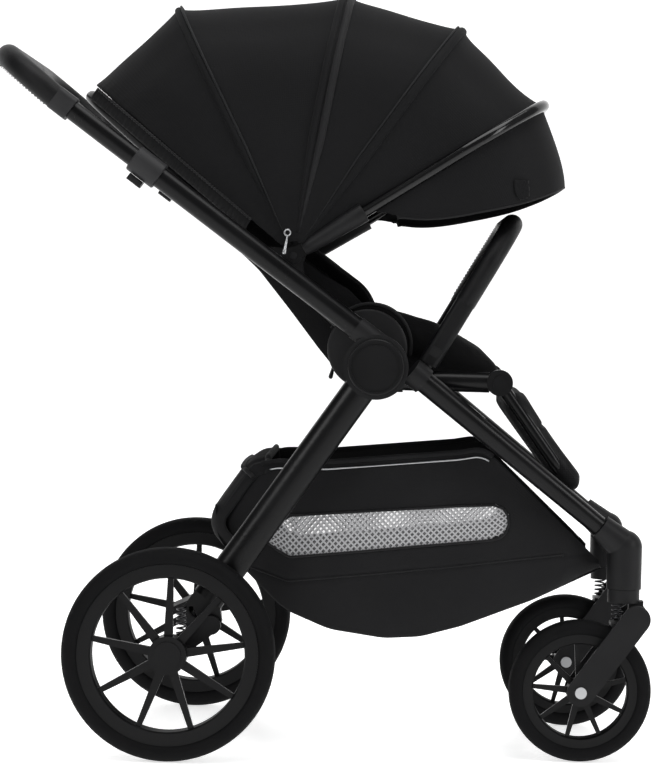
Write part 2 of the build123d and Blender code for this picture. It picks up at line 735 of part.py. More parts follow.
# ---- backrest frame: hoop with eyes on the seat pins ----
back_axis = (math.cos(math.radians(backrest_angle)), 0, math.sin(math.radians(backrest_angle)))
eye_radius = 15.0
eye_half = backrest_tube_radius - 1
with BuildPart() as backrest_frame:
    with BuildLine() as back_path:
        foot = reach(seat_pivot, backrest_angle, eye_radius - 4)
        head = reach(seat_pivot, backrest_angle, backrest_length)
        FilletPolyline(place(foot, -backrest_tube_y), place(head, -backrest_tube_y),
                       place(head, backrest_tube_y), place(foot, backrest_tube_y), radius=60)
    with BuildSketch(Plane(back_path.line @ 0, z_dir=back_path.line % 0)):
        Circle(backrest_tube_radius)
    sweep()
    for side in sides.values():
        with BuildSketch(side_plane(side * (backrest_tube_y - eye_half))):
            with Locations(seat_pivot):
                Circle(eye_radius)
        extrude(amount=-side * 2 * eye_half)
    with BuildSketch(Plane.XZ):
        with Locations(seat_pivot):
            Circle(seat_pin_radius + running_fit)
    extrude(amount=backrest_tube_y + 20, both=True, mode=Mode.SUBTRACT)
save(backrest_frame, "backrest_frame")

# ---- canopy brackets: plates on the backrest tubes with the bow pivot pins ----
bracket_inner = backrest_tube_y + backrest_tube_radius + 0.3
bracket_thickness = 8.0
bow_pin_radius = 5.0
bow_eye_radius = 12.0
bow_eye_gap = 0.3
bow_eye_thickness = [3.0, 3.0, 3.0, 4.6]
bow_eye_inner = [bracket_inner + bracket_thickness + bow_eye_gap]
for thickness in bow_eye_thickness:
    bow_eye_inner.append(bow_eye_inner[-1] + thickness + bow_eye_gap)
with BuildPart() as canopy_brackets:
    with BuildSketch(side_plane(bracket_inner)):
        with BuildLine():
            Polyline(reach(seat_pivot, backrest_angle, 120, -9), reach(seat_pivot, backrest_angle, 205, -9),
                     reach(seat_pivot, backrest_angle, 200, 9), (canopy_x - 11, canopy_z + 10),
                     (canopy_x + 11, canopy_z + 10), reach(seat_pivot, backrest_angle, 125, 9), close=True)
        make_face()
        with Locations(canopy_pivot):
            Circle(16)
    extrude(amount=-bracket_thickness)
    with BuildSketch(side_plane(bracket_inner)):
        with Locations(canopy_pivot):
            Circle(bow_pin_radius)
    extrude(amount=-(bow_eye_inner[-1] + 1 - bracket_inner))
    mirror(about=Plane.XZ)
save(canopy_brackets, "canopy_brackets")

# ---- canopy bows: eyes on the pivot pins, flat roots and round arches ----
bow_root = 80.0
arch_drop = 90.0
arch_inset = 85.0
arch_corner = 110.0


def bow_plane(angle):
    """Plane of a bow: local x runs outwards from the canopy pivot and local y to the left."""
    turn = math.radians(angle)
    return Plane(Vector(canopy_x, 0, canopy_z), x_dir=(math.cos(turn), 0, math.sin(turn)),
                 z_dir=(-math.sin(turn), 0, math.cos(turn)))


def arch_points(start, start_y, half_width, crown):
    """Corners of a bow's arch from one side to the other, crown in the middle."""
    right = [(start, -start_y), (crown - arch_drop, -half_width), (crown, -(half_width - arch_inset))]
    return right + [(x, -y) for x, y in reversed(right)]


for index, name in enumerate(bow_names):
    rod = front_bow_radius if name == "canopy_front_bow" else bow_rod_radius
    half_width = canopy_half_width if rod == bow_rod_radius else canopy_half_width - 3.6
    root_half = rod * 1.15
    eye_inner = bow_eye_inner[index]
    eye_middle = eye_inner + bow_eye_thickness[index] / 2
    root_y = eye_middle if rod == bow_rod_radius else half_width
    plane = bow_plane(bow_angles[index])
    with BuildPart() as bow:
        with BuildLine(plane) as arch:
            corners = arch_points(bow_root - 6, root_y, half_width, bow_reaches[index])
            FilletPolyline(*corners, radius=arch_corner)
        with BuildSketch(Plane(arch.line @ 0, z_dir=arch.line % 0)):
            Circle(rod)
        sweep()
        for side in sides.values():
            with BuildSketch(side_plane(side * eye_inner)):
                with Locations(canopy_pivot):
                    Circle(bow_eye_radius)
                with BuildLine():
                    Polyline(reach(canopy_pivot, bow_angles[index], 5, root_half),
                             reach(canopy_pivot, bow_angles[index], bow_root, root_half),
                             reach(canopy_pivot, bow_angles[index], bow_root, -root_half),
                             reach(canopy_pivot, bow_angles[index], 5, -root_half), close=True)
                make_face()
                with Locations(canopy_pivot):
                    Circle(bow_pin_radius + running_fit, mode=Mode.SUBTRACT)
            extrude(amount=-side * bow_eye_thickness[index])
    save(bow, name)

# ---- canopy fabric: one panel between each pair of bows, and the front visor ----
fabric_y = bow_eye_inner[-1] + 1 + soft_gap
fabric_half_width = max(fabric_y, canopy_half_width + bow_rod_radius + 1.2)
fabric_start = 32.0
panel_names = ["canopy_panel_rear", "canopy_panel_crown", "canopy_panel_forward",
               "canopy_panel_front", "visor"]
edge_angles = [canopy_rear_angle] + bow_angles + [visor_angle]
edge_reaches = [canopy_rear_reach + 1] + [r + 4.9 for r in bow_reaches[:3]]
edge_reaches += [bow_reaches[3] + 9.4, visor_reach]
seam_gap = 0.12


for index, name in enumerate(panel_names):
    with BuildPart() as panel:
        first, second = edge_angles[index] - seam_gap, edge_angles[index + 1] + seam_gap
        for angle, crown in ((first, edge_reaches[index]), (second, edge_reaches[index + 1])):
            with BuildSketch(bow_plane(angle)):
                for layer, mode in ((fabric_thickness, Mode.ADD), (0.0, Mode.SUBTRACT)):
                    start = fabric_start if layer else fabric_start - 10
                    width = fabric_half_width + layer
                    with BuildLine():
                        edge = FilletPolyline(*arch_points(start, width, width, crown + layer),
                                              radius=arch_corner + layer)
                        Line(edge @ 1, edge @ 0)
                    make_face(mode=mode)
        loft(ruled=True)
    save(panel, name)

# ---- soft pieces of the seat: cushion, backrest pad and calf pad ----
cushion_outline = [(20, 518), (100, 512), (222, 512), (225, 545), (221, 566), (197, 583), (180, 591),
                   (124, 617), (87, 626), (69, 624), (50, 600), (22, 560)]
cushion_rail_gap = 2.0
with BuildPart() as seat_cushion:
    with BuildSketch(Plane.XZ):
        with BuildLine():
            Polyline(*cushion_outline, close=True)
        make_face()
        with Locations((seat_cross_x, seat_rail_z - 4)):
            Circle(9 + cushion_rail_gap, mode=Mode.SUBTRACT)
            Rectangle(2 * (9 + cushion_rail_gap), 30, align=(Align.CENTER, Align.MAX), mode=Mode.SUBTRACT)
    extrude(amount=seat_pad_half_width - 1, both=True)
    with BuildSketch(Plane.XZ):
        with BuildLine():
            Polyline((0, 566), (120, 560), (200, 556), (260, 552), (260, 660), (0, 660), close=True)
        make_face()
    extrude(amount=seat_pad_half_width - 42, both=True, mode=Mode.SUBTRACT)
save(seat_cushion, "seat_cushion")

pad_start = 84.0
pad_length = backrest_length - backrest_tube_radius - 3 - pad_start
pad_plane = Plane(place(seat_pivot, 0), x_dir=(0, 1, 0), z_dir=(back_axis[2], 0, -back_axis[0]))
pad_back = -18.0
pad_front = 26.0
with BuildPart() as backrest_pad:
    with BuildSketch(pad_plane.offset(pad_back)):
        with Locations((0, pad_start + pad_length / 2)):
            RectangleRounded(2 * backrest_pad_half_width, pad_length, 52)
    extrude(amount=pad_front - pad_back)
save(backrest_pad, "backrest_pad")

strap_spacing = 104.0
with BuildPart() as harness_straps:
    with BuildSketch(pad_plane.offset(pad_front + soft_gap)):
        with Locations((-strap_spacing / 2, 255), (strap_spacing / 2, 255)):
            RectangleRounded(38, 290, 6)
    extrude(amount=3)
save(harness_straps, "harness_straps")

with BuildPart() as harness_buckle:
    with BuildSketch(Plane((126, 0, 561.2), x_dir=(0, 1, 0), z_dir=(0.03, 0, 1))):
        RectangleRounded(46, 52, 9)
    extrude(amount=13)
    fillet(harness_buckle.faces().sort_by(Axis.Z)[-1].edges(), radius=3)
save(harness_buckle, "harness_buckle")

calf_axis = (math.cos(math.radians(calf_angle)), 0, math.sin(math.radians(calf_angle)))
knee = (knee_x, seat_rail_z)
calf_eye_half = calf_tube_radius - 1
with BuildPart() as calf_frame:
    with BuildLine() as calf_path:
        foot = reach(knee, calf_angle, 8)
        toe = reach(knee, calf_angle, calf_length)
        FilletPolyline(place(foot, -calf_tube_y), place(toe, -calf_tube_y), place(toe, calf_tube_y),
                       place(foot, calf_tube_y), radius=45)
    with BuildSketch(Plane(calf_path.line @ 0, z_dir=calf_path.line % 0)):
        Circle(calf_tube_radius)
    sweep()
    for side in sides.values():
        with BuildSketch(side_plane(side * (calf_tube_y - calf_eye_half))):
            with Locations(knee):
                Circle(13)
        extrude(amount=-side * 2 * calf_eye_half)
    with BuildSketch(Plane.XZ):
        with Locations(knee):
            Circle(5 + running_fit)
    extrude(amount=calf_tube_y + 20, both=True, mode=Mode.SUBTRACT)
save(calf_frame, "calf_frame")

calf_pad_start = 24.0
calf_pad_length = calf_length - calf_pad_start - calf_tube_radius - 2
calf_pad_half_width = calf_tube_y - calf_tube_radius - 2
with BuildPart() as calf_pad:
    calf_plane = Plane(place(knee, 0), x_dir=(0, 1, 0), z_dir=(calf_axis[2], 0, -calf_axis[0]))
    with BuildSketch(calf_plane.offset(-12)):
        with Locations((0, calf_pad_start + calf_pad_length / 2)):
            RectangleRounded(2 * calf_pad_half_width, calf_pad_length, 36)
    extrude(amount=26)
save(calf_pad, "calf_pad")
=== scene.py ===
import json
import math

import bmesh
import bpy
import numpy as np
from mathutils import Matrix, Vector


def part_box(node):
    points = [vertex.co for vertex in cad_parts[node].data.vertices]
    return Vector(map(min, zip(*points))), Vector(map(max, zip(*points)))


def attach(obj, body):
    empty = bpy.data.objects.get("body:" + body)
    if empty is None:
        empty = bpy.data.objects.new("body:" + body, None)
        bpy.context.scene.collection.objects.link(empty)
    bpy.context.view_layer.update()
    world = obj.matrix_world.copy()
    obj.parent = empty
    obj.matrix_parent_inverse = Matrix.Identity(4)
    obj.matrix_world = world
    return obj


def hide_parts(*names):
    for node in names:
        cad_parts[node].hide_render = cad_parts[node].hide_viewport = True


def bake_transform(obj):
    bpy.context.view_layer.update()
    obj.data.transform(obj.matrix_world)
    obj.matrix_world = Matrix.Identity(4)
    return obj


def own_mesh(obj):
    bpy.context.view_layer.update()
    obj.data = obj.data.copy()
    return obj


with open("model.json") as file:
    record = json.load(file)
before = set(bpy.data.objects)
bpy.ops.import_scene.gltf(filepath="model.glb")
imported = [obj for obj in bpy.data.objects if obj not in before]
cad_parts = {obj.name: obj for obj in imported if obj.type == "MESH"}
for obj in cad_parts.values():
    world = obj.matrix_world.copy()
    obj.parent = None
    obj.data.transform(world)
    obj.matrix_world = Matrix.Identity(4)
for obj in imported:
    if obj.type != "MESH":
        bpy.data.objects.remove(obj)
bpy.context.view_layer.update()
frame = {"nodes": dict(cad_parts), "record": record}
joints = {j["name"]: j for j in frame["record"]["behaviour"]["joints"]}
sides = {"right": -1.0, "left": 1.0}
print("stage: frame loaded,", len(frame["nodes"]), "nodes")


def hexColour(code):
    # sRGB hex to linear: below 0.04045 divide by 12.92, above it the 2.4 power curve
    srgb = np.array([int(code[i:i + 2], 16) for i in (1, 3, 5)]) / 255
    linear = np.where(srgb <= 0.04045, srgb / 12.92, ((srgb + 0.055) / 1.055) ** 2.4)
    return (*linear.tolist(), 1.0)


def unit(v):
    # each vector divided by its length
    v = np.asarray(v, float)
    return v / np.maximum(np.linalg.norm(v, axis=-1, keepdims=True), 1e-12)


def meshPoints(mesh):
    # every vertex of a mesh, as an array of rows x, y, z
    flat = np.empty(len(mesh.vertices) * 3)
    mesh.vertices.foreach_get("co", flat)
    return flat.reshape(-1, 3)


def nodePoints(name):
    # the same for a CAD node
    return meshPoints(frame["nodes"][name].data)


def nearestIndex(spots, grid):
    # for each spot the closest grid point: squared distance is s.s + g.g - 2 s.g
    gap = (spots ** 2).sum(1)[:, None] + (grid ** 2).sum(1)[None] - 2 * spots @ grid.T
    return gap.argmin(1)


def smoothStep(t):
    # 3t^2 - 2t^3 after t is held between 0 and 1
    t = np.clip(t, 0, 1)
    return t * t * (3 - 2 * t)


def runLength(path):
    # distance walked along a path up to each of its points
    return np.concatenate([[0], np.cumsum(np.linalg.norm(np.diff(path, axis=0), axis=1))])


def gridPiece(name, points, closeU=False, closeV=False, uv=None, smooth=True):
    # a grid of points, rows along u and columns along v, becomes quads between neighbours
    rows, cols = points.shape[:2]
    index = np.arange(rows * cols).reshape(rows, cols)
    if closeU:
        index = np.vstack([index, index[:1]])
    if closeV:
        index = np.hstack([index, index[:, :1]])
    quads = np.stack([index[:-1, :-1], index[1:, :-1], index[1:, 1:], index[:-1, 1:]], -1).reshape(-1, 4)
    mesh = bpy.data.meshes.new(name)
    mesh.from_pydata(points.reshape(-1, 3).tolist(), [], quads.tolist())
    if uv is None:
        stepU = np.linalg.norm(np.diff(points, axis=0), axis=2).mean(1)
        stepV = np.linalg.norm(np.diff(points, axis=1), axis=2).mean(0)
        lengthU = np.concatenate([[0], np.cumsum(stepU)])
        lengthV = np.concatenate([[0], np.cumsum(stepV)])
        if closeU:
            lengthU = np.append(lengthU, lengthU[-1] + stepU[-1])
        if closeV:
            lengthV = np.append(lengthV, lengthV[-1] + stepV[-1])
        uv = np.stack(np.meshgrid(lengthU, lengthV, indexing="ij"), -1)
    layer = mesh.uv_layers.new(name="surface")
    corners = np.stack([uv[:-1, :-1], uv[1:, :-1], uv[1:, 1:], uv[:-1, 1:]], 2)
    layer.data.foreach_set("uv", corners.reshape(-1).astype(np.float32))
    mesh.polygons.foreach_set("use_smooth", [smooth] * len(mesh.polygons))
    piece = bpy.data.objects.new(name, mesh)
    bpy.context.scene.collection.objects.link(piece)
    return piece


def roundedPath(corners, radius, count):
    # straight runs joined by tangent arcs of one radius, then read off at even steps of length
    corners = [np.asarray(c, float) for c in corners]
    dense = [corners[0]]
    for before, here, after in zip(corners, corners[1:], corners[2:]):
        a, b = unit(before - here), unit(after - here)
        half = math.acos(np.clip(np.dot(a, b), -1, 1)) / 2
        # an arc never takes more than half of either run beside it
        back = min(radius / math.tan(half), 0.49 * np.linalg.norm(before - here),
                   0.49 * np.linalg.norm(after - here))
        centre = here + unit(a + b) * (back / math.cos(half))
        start, end = here + a * back, here + b * back
        for t in np.linspace(0, 1, 17):
            ray = unit((start - centre) * (1 - t) + (end - centre) * t)
            dense.append(centre + ray * np.linalg.norm(start - centre))
    dense.append(corners[-1])
    dense = np.array(dense)
    length = runLength(dense)
    even = np.linspace(0, length[-1], count)
    return np.stack([np.interp(even, length, dense[:, k]) for k in range(dense.shape[1])], 1)


def tubeAlong(name, path, radius, reference, sidesCount=16, closed=False, squashAcross=1.0):
    # a circle of the given radius carried along a path; reference keeps its frame from twisting
    ahead = np.roll(path, -1, 0) - np.roll(path, 1, 0) if closed else np.gradient(path, axis=0)
    ahead = unit(ahead)
    across = unit(np.cross(ahead, reference))
    upward = unit(np.cross(across, ahead))
    turn = np.linspace(0, 2 * math.pi, sidesCount, endpoint=False)
    radius = np.broadcast_to(np.asarray(radius, float), (len(path),))[:, None, None]
    ring = (np.cos(turn)[None, :, None] * across[:, None, :] * squashAcross
            + np.sin(turn)[None, :, None] * upward[:, None, :])
    points = path[:, None, :] + radius * ring
    piece = gridPiece(name, points, closeU=closed, closeV=True)
    if not closed:
        capEnds(piece, len(path), sidesCount)
    return piece


def capEnds(piece, rows, cols):
    # a fan of triangles over each open end of a tube grid
    mesh = piece.data
    points = meshPoints(mesh)
    ends = [points[:cols].mean(0), points[-cols:].mean(0)]
    ring = np.arange(cols)
    faces = [tuple(p.vertices) for p in mesh.polygons]
    first, last = len(points), len(points) + 1
    faces += [(first, int(b), int(a)) for a, b in zip(ring, np.roll(ring, -1))]
    base = (rows - 1) * cols
    faces += [(last, int(base + a), int(base + b)) for a, b in zip(ring, np.roll(ring, -1))]
    uvs = np.empty(len(mesh.loops) * 2, np.float32)
    mesh.uv_layers[0].data.foreach_get("uv", uvs)
    fresh = bpy.data.meshes.new(piece.name)
    fresh.from_pydata(points.tolist() + [e.tolist() for e in ends], [], faces)
    layer = fresh.uv_layers.new(name="surface")
    padded = np.zeros(len(fresh.loops) * 2, np.float32)
    padded[:len(uvs)] = uvs
    layer.data.foreach_set("uv", padded)
    fresh.polygons.foreach_set("use_smooth", [True] * len(fresh.polygons))
    piece.data = fresh
    faceOutwards(piece)


def faceOutwards(piece):
    # normals point out of a closed mesh
    work = bmesh.new()
    work.from_mesh(piece.data)
    bmesh.ops.recalc_face_normals(work, faces=work.faces)
    work.to_mesh(piece.data)
    work.free()


def finishPiece(piece, material, body=None, thickness=0.0):
    # wall, finish and the body that the piece moves with; a minus sign puts the wall inwards
    if thickness:
        wall = piece.modifiers.new("wall", "SOLIDIFY")
        wall.thickness = abs(thickness)
        wall.offset = 1.0 if thickness > 0 else -1.0
    piece.data.materials.clear()
    piece.data.materials.append(material)
    if body:
        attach(piece, body)
    return piece


def applyModifiers(piece):
    # the mesh as its modifiers leave it, with none left live
    graph = bpy.context.evaluated_depsgraph_get()
    fresh = bpy.data.meshes.new_from_object(piece.evaluated_get(graph))
    piece.modifiers.clear()
    piece.data = fresh
    return piece


def addNode(tree, kind, links=None, **values):
    # one node with its settings, its input values and its links
    node = tree.nodes.new(kind)
    for key, value in values.items():
        if hasattr(node, key):
            setattr(node, key, value)
        else:
            node.inputs[key.replace("_", " ")].default_value = value
    for socket, source in (links or {}).items():
        tree.links.new(source, node.inputs[socket])
    return node


def newMaterial(name, colour, roughness, metallic=0.0, **extras):
    # a Principled material; returns it with its tree and shader
    material = bpy.data.materials.new(name)
    material.use_nodes = True
    tree = material.node_tree
    shader = tree.nodes["Principled BSDF"]
    shader.inputs["Base Color"].default_value = hexColour(colour)
    shader.inputs["Roughness"].default_value = roughness
    shader.inputs["Metallic"].default_value = metallic
    for key, value in extras.items():
        shader.inputs[key.replace("_", " ")].default_value = value
    return material, tree, shader


def mottle(tree, shader, source, scale, darkCode, lightCode, roughLow, roughHigh, detail=3.0):
    # slow noise that shifts the colour and the roughness a little
    noise = addNode(tree, "ShaderNodeTexNoise", {"Vector": source}, Scale=scale, Detail=detail)
    ramp = addNode(tree, "ShaderNodeValToRGB", {"Fac": noise.outputs["Fac"]})
    ramp.color_ramp.elements[0].position = 0.32
    ramp.color_ramp.elements[0].color = hexColour(darkCode)
    ramp.color_ramp.elements[1].position = 0.7
    ramp.color_ramp.elements[1].color = hexColour(lightCode)
    tree.links.new(ramp.outputs["Color"], shader.inputs["Base Color"])
    rough = addNode(tree, "ShaderNodeMapRange", {"Value": noise.outputs["Fac"]}, From_Min=0.3, From_Max=0.7)
    rough.inputs["To Min"].default_value = roughLow
    rough.inputs["To Max"].default_value = roughHigh
    tree.links.new(rough.outputs["Result"], shader.inputs["Roughness"])
    return noise


def bumpFrom(tree, shader, height, strength, distance, before=None):
    # height in metres pushes the normal; before chains a coarser bump under it
    bump = addNode(tree, "ShaderNodeBump", {"Height": height}, Strength=strength, Distance=distance)
    if before is not None:
        tree.links.new(before.outputs["Normal"], bump.inputs["Normal"])
    tree.links.new(bump.outputs["Normal"], shader.inputs["Normal"])
    return bump


halfWavePerMetre = math.pi / 20  # a Wave Texture of scale pi/10 repeats once a metre


def wovenCloth(name, darkCode, lightCode, threadMm, roughness, sheen, creaseDepth, moulded=False):
    # plain-weave polyester: two sets of threads cross at right angles, so light breaks up and the
    # edges carry a faint sheen. The real 0.4 mm threads are drawn coarser so that they show at all.
    # moulded reads the threads from the piece's place, x, y and z summed, for pads with no flat layout
    material, tree, shader = newMaterial(name, lightCode, roughness, Sheen_Weight=sheen, Sheen_Roughness=0.45)
    shader.inputs["Specular IOR Level"].default_value = 0.12
    place = addNode(tree, "ShaderNodeTexCoord")
    if moulded:
        surface = place.outputs["Object"]
    else:
        surface = addNode(tree, "ShaderNodeUVMap", uv_map="surface").outputs["UV"]
    mottle(tree, shader, place.outputs["Object"], 7.0, darkCode, lightCode, roughness - 0.05,
           roughness + 0.06)
    scale = 1000.0 / threadMm * halfWavePerMetre  # one wave for each pair of threads
    waves = [addNode(tree, "ShaderNodeTexWave", {"Vector": surface}, bands_direction=way,
                     Scale=scale) for way in ("XYZ" if moulded else "XY")]
    weave = waves[0].outputs["Fac"]
    for wave in waves[1:]:
        crossing = addNode(tree, "ShaderNodeMath", {0: weave, 1: wave.outputs["Fac"]},
                           operation="ADD" if moulded else "MULTIPLY")
        weave = crossing.outputs["Value"]
    crease = addNode(tree, "ShaderNodeTexNoise", {"Vector": place.outputs["Object"]}, Scale=9.0, Detail=4.0,
                     Distortion=0.6)
    slow = bumpFrom(tree, shader, crease.outputs["Fac"], 0.5, creaseDepth)
    bumpFrom(tree, shader, weave, 0.35, 0.0003, slow)
    return material


def satinPaint(name, code, roughness, coat):
    # powder-coated aluminium tube: smooth, very slightly orange-peeled, long soft highlights
    material, tree, shader = newMaterial(name, code, roughness, Coat_Weight=coat, Coat_Roughness=0.18)
    shader.inputs["Specular IOR Level"].default_value = 0.17
    place = addNode(tree, "ShaderNodeTexCoord")
    lighter = "#" + "".join(f"{min(255, int(code[i:i + 2], 16) + 5):02x}" for i in (1, 3, 5))
    mottle(tree, shader, place.outputs["Object"], 14.0, code, lighter, roughness - 0.03, roughness + 0.05)
    peel = addNode(tree, "ShaderNodeTexNoise", {"Vector": place.outputs["Object"]}, Scale=900.0, Detail=1.0)
    bumpFrom(tree, shader, peel.outputs["Fac"], 0.12, 0.0001)
    return material


def mouldedPlastic(name, darkCode, lightCode, roughness, grainMm):
    # glass-filled nylon from a spark-eroded mould: an even fine grain that spreads the highlights
    material, tree, shader = newMaterial(name, lightCode, roughness, IOR=1.53)
    shader.inputs["Specular IOR Level"].default_value = 0.16
    place = addNode(tree, "ShaderNodeTexCoord")
    mottle(tree, shader, place.outputs["Object"], 20.0, darkCode, lightCode, roughness - 0.04,
           roughness + 0.05)
    grain = addNode(tree, "ShaderNodeTexNoise", {"Vector": place.outputs["Object"]}, Scale=1000.0 / grainMm,
                    Detail=2.0)
    bumpFrom(tree, shader, grain.outputs["Fac"], 0.25, 0.00012)
    return material


def grainedLeather(name, darkCode, lightCode, grainMm):
    # embossed polyurethane leather: pebbled cells with shallow valleys, satin on the tops
    material, tree, shader = newMaterial(name, lightCode, 0.42, IOR=1.48)
    shader.inputs["Specular IOR Level"].default_value = 0.18
    place = addNode(tree, "ShaderNodeTexCoord")
    mottle(tree, shader, place.outputs["Object"], 30.0, darkCode, lightCode, 0.36, 0.5)
    cells = addNode(tree, "ShaderNodeTexVoronoi", {"Vector": place.outputs["Object"]},
                    feature="DISTANCE_TO_EDGE", Scale=1000.0 / grainMm)
    soft = addNode(tree, "ShaderNodeMapRange", {"Value": cells.outputs["Distance"]}, From_Max=0.25)
    bumpFrom(tree, shader, soft.outputs["Result"], 0.35, 0.0003)
    return material


def tyreRubber(name):
    # foamed polyurethane tyre: dull black, its tone and roughness shifting a little at random
    material, tree, shader = newMaterial(name, "#0c0c0d", 0.72)
    shader.inputs["Specular IOR Level"].default_value = 0.1
    place = addNode(tree, "ShaderNodeTexCoord")
    mottle(tree, shader, place.outputs["Object"], 26.0, "#080809", "#101011", 0.62, 0.8, 5.0)
    grain = addNode(tree, "ShaderNodeTexNoise", {"Vector": place.outputs["Object"]}, Scale=1400.0, Detail=2.0)
    bumpFrom(tree, shader, grain.outputs["Fac"], 0.3, 0.00015)
    return material


def brushedSteel(name, code, roughness):
    # zinc-plated steel, lightly brushed: pale and streaky, rough enough to blur what it reflects
    material, tree, shader = newMaterial(name, code, roughness, metallic=1.0)
    place = addNode(tree, "ShaderNodeTexCoord")
    stretch = addNode(tree, "ShaderNodeMapping", {"Vector": place.outputs["Object"]},
                      Scale=(60.0, 1500.0, 60.0))
    streak = addNode(tree, "ShaderNodeTexNoise", {"Vector": stretch.outputs["Vector"]}, Scale=1.0, Detail=3.0)
    rough = addNode(tree, "ShaderNodeMapRange", {"Value": streak.outputs["Fac"]})
    rough.inputs["To Min"].default_value = roughness - 0.06
    rough.inputs["To Max"].default_value = roughness + 0.1
    tree.links.new(rough.outputs["Result"], shader.inputs["Roughness"])
    bumpFrom(tree, shader, streak.outputs["Fac"], 0.1, 0.0001)
    return material


def basketNet(name):
    # warp-knitted polyester net: pale grey threads round diamond holes, which are open, so what lies
    # behind shows through. The 1.6 mm holes are drawn 6 mm apart so that they show
    material, tree, shader = newMaterial(name, "#a4a4a6", 0.75, Sheen_Weight=0.1)
    surface = addNode(tree, "ShaderNodeUVMap", uv_map="surface")
    turned = addNode(tree, "ShaderNodeMapping", {"Vector": surface.outputs["UV"]})
    turned.inputs["Rotation"].default_value = (0, 0, math.radians(45))
    waves = [addNode(tree, "ShaderNodeTexWave", {"Vector": turned.outputs["Vector"]}, bands_direction=way,
                     Scale=1000.0 / 3.0 * halfWavePerMetre) for way in ("X", "Y")]
    thread = addNode(tree, "ShaderNodeMath", {0: waves[0].outputs["Fac"], 1: waves[1].outputs["Fac"]},
                     operation="MAXIMUM")
    solid = addNode(tree, "ShaderNodeMapRange", {"Value": thread.outputs["Value"]}, From_Min=0.62,
                    From_Max=0.78)
    solid.inputs["To Min"].default_value = 0.25
    tree.links.new(solid.outputs["Result"], shader.inputs["Alpha"])
    bumpFrom(tree, shader, thread.outputs["Value"], 0.4, 0.0006)
    return material


finishes = {
    "frame_tube": satinPaint("satinBlackPowderCoat", "#060607", 0.28, 0.03),
    "gloss_tube": satinPaint("glossBlackEnamel", "#060607", 0.14, 0.35),
    "bow_rod": satinPaint("blackSpringSteelPaint", "#0b0b0c", 0.4, 0.05),
    "frame_plastic": mouldedPlastic("grainedNylon", "#131314", "#1a1a1b", 0.46, 0.9),
    "cap_plastic": mouldedPlastic("smoothNylonCap", "#09090a", "#0e0e0f", 0.36, 0.7),
    "rim_plastic": mouldedPlastic("satinNylonRim", "#09090a", "#0e0e0f", 0.34, 0.8),
    "tyre": tyreRubber("foamTyreRubber"),
    "steel": brushedSteel("zincPlatedSteel", "#b9babc", 0.3),
    "canopy_fabric": wovenCloth("canopyPolyester", "#121213", "#161617", 1.6, 0.86, 0.03, 0.004),
    "basket_fabric": wovenCloth("basketPolyester", "#171718", "#1d1d1e", 1.8, 0.84, 0.04, 0.005),
    "seat_fabric": wovenCloth("seatPolyester", "#0c0c0d", "#111112", 1.5, 0.85, 0.04, 0.004, moulded=True),
    "webbing": wovenCloth("ribbedWebbing", "#0e0e0f", "#151516", 2.4, 0.8, 0.04, 0.001),
    "grip_leather": grainedLeather("embossedLeatherette", "#08080a", "#0e0e0f", 1.3),
}
pipingCloth = wovenCloth("twillPiping", "#181819", "#222223", 1.2, 0.7, 0.06, 0.001)
basketMesh = basketNet("knittedNet")
collarNylon = mouldedPlastic("greyCollarNylon", "#252526", "#2c2c2d", 0.45, 0.9)

slotOf = {s["node"]: s["material_slot"] for s in frame["record"]["subparts"]}
for nodeName, cadPiece in frame["nodes"].items():
    cadPiece.data.materials.clear()
    cadPiece.data.materials.append(finishes[slotOf[nodeName]])
springWire = brushedSteel("blackenedSpringWire", "#4c4c4e", 0.38)
for nodeName in ("height_collars", "grip_joints"):  # these mouldings are a lighter grey than the rest
    frame["nodes"][nodeName].data.materials[0] = collarNylon
print("stage: materials on", len(frame["nodes"]), "CAD nodes")


# angles in radians; focalShare is the focal length over the longer side of the picture
view = {"place": (0.0963, -4.2382, 0.6247), "pitch": -0.0275, "yaw": -0.0235, "roll": -0.0251,
        "focalShare": 3.82891, "sensor": 36.0, "farthest": 60.0}

cosYaw, sinYaw = math.cos(view["yaw"]), math.sin(view["yaw"])
cosPitch, sinPitch = math.cos(view["pitch"]), math.sin(view["pitch"])
ahead = Vector((sinYaw * cosPitch, cosYaw * cosPitch, sinPitch))
right = Vector((cosYaw, -sinYaw, 0))
down = ahead.cross(right)
cosRoll, sinRoll = math.cos(view["roll"]), math.sin(view["roll"])
rollRight = right * cosRoll + down * sinRoll
rollDown = right * -sinRoll + down * cosRoll
camera = bpy.data.objects.new("camera", bpy.data.cameras.new("camera"))
bpy.context.scene.collection.objects.link(camera)
turnedAxes = Matrix((rollRight, -rollDown, -ahead)).transposed()
camera.matrix_world = Matrix.Translation(view["place"]) @ turnedAxes.to_4x4()
camera.data.sensor_width = view["sensor"]
camera.data.lens = view["sensor"] * view["focalShare"]
camera.data.clip_end = view["farthest"]
bpy.context.scene.camera = camera

studio = {"floorHalf": 14.0, "backDistance": 5.0, "sweepRadius": 2.0, "wallTop": 12.0,
          "floorColour": "#f4f4f4", "worldLight": 0.22, "floorGlow": 0.62}

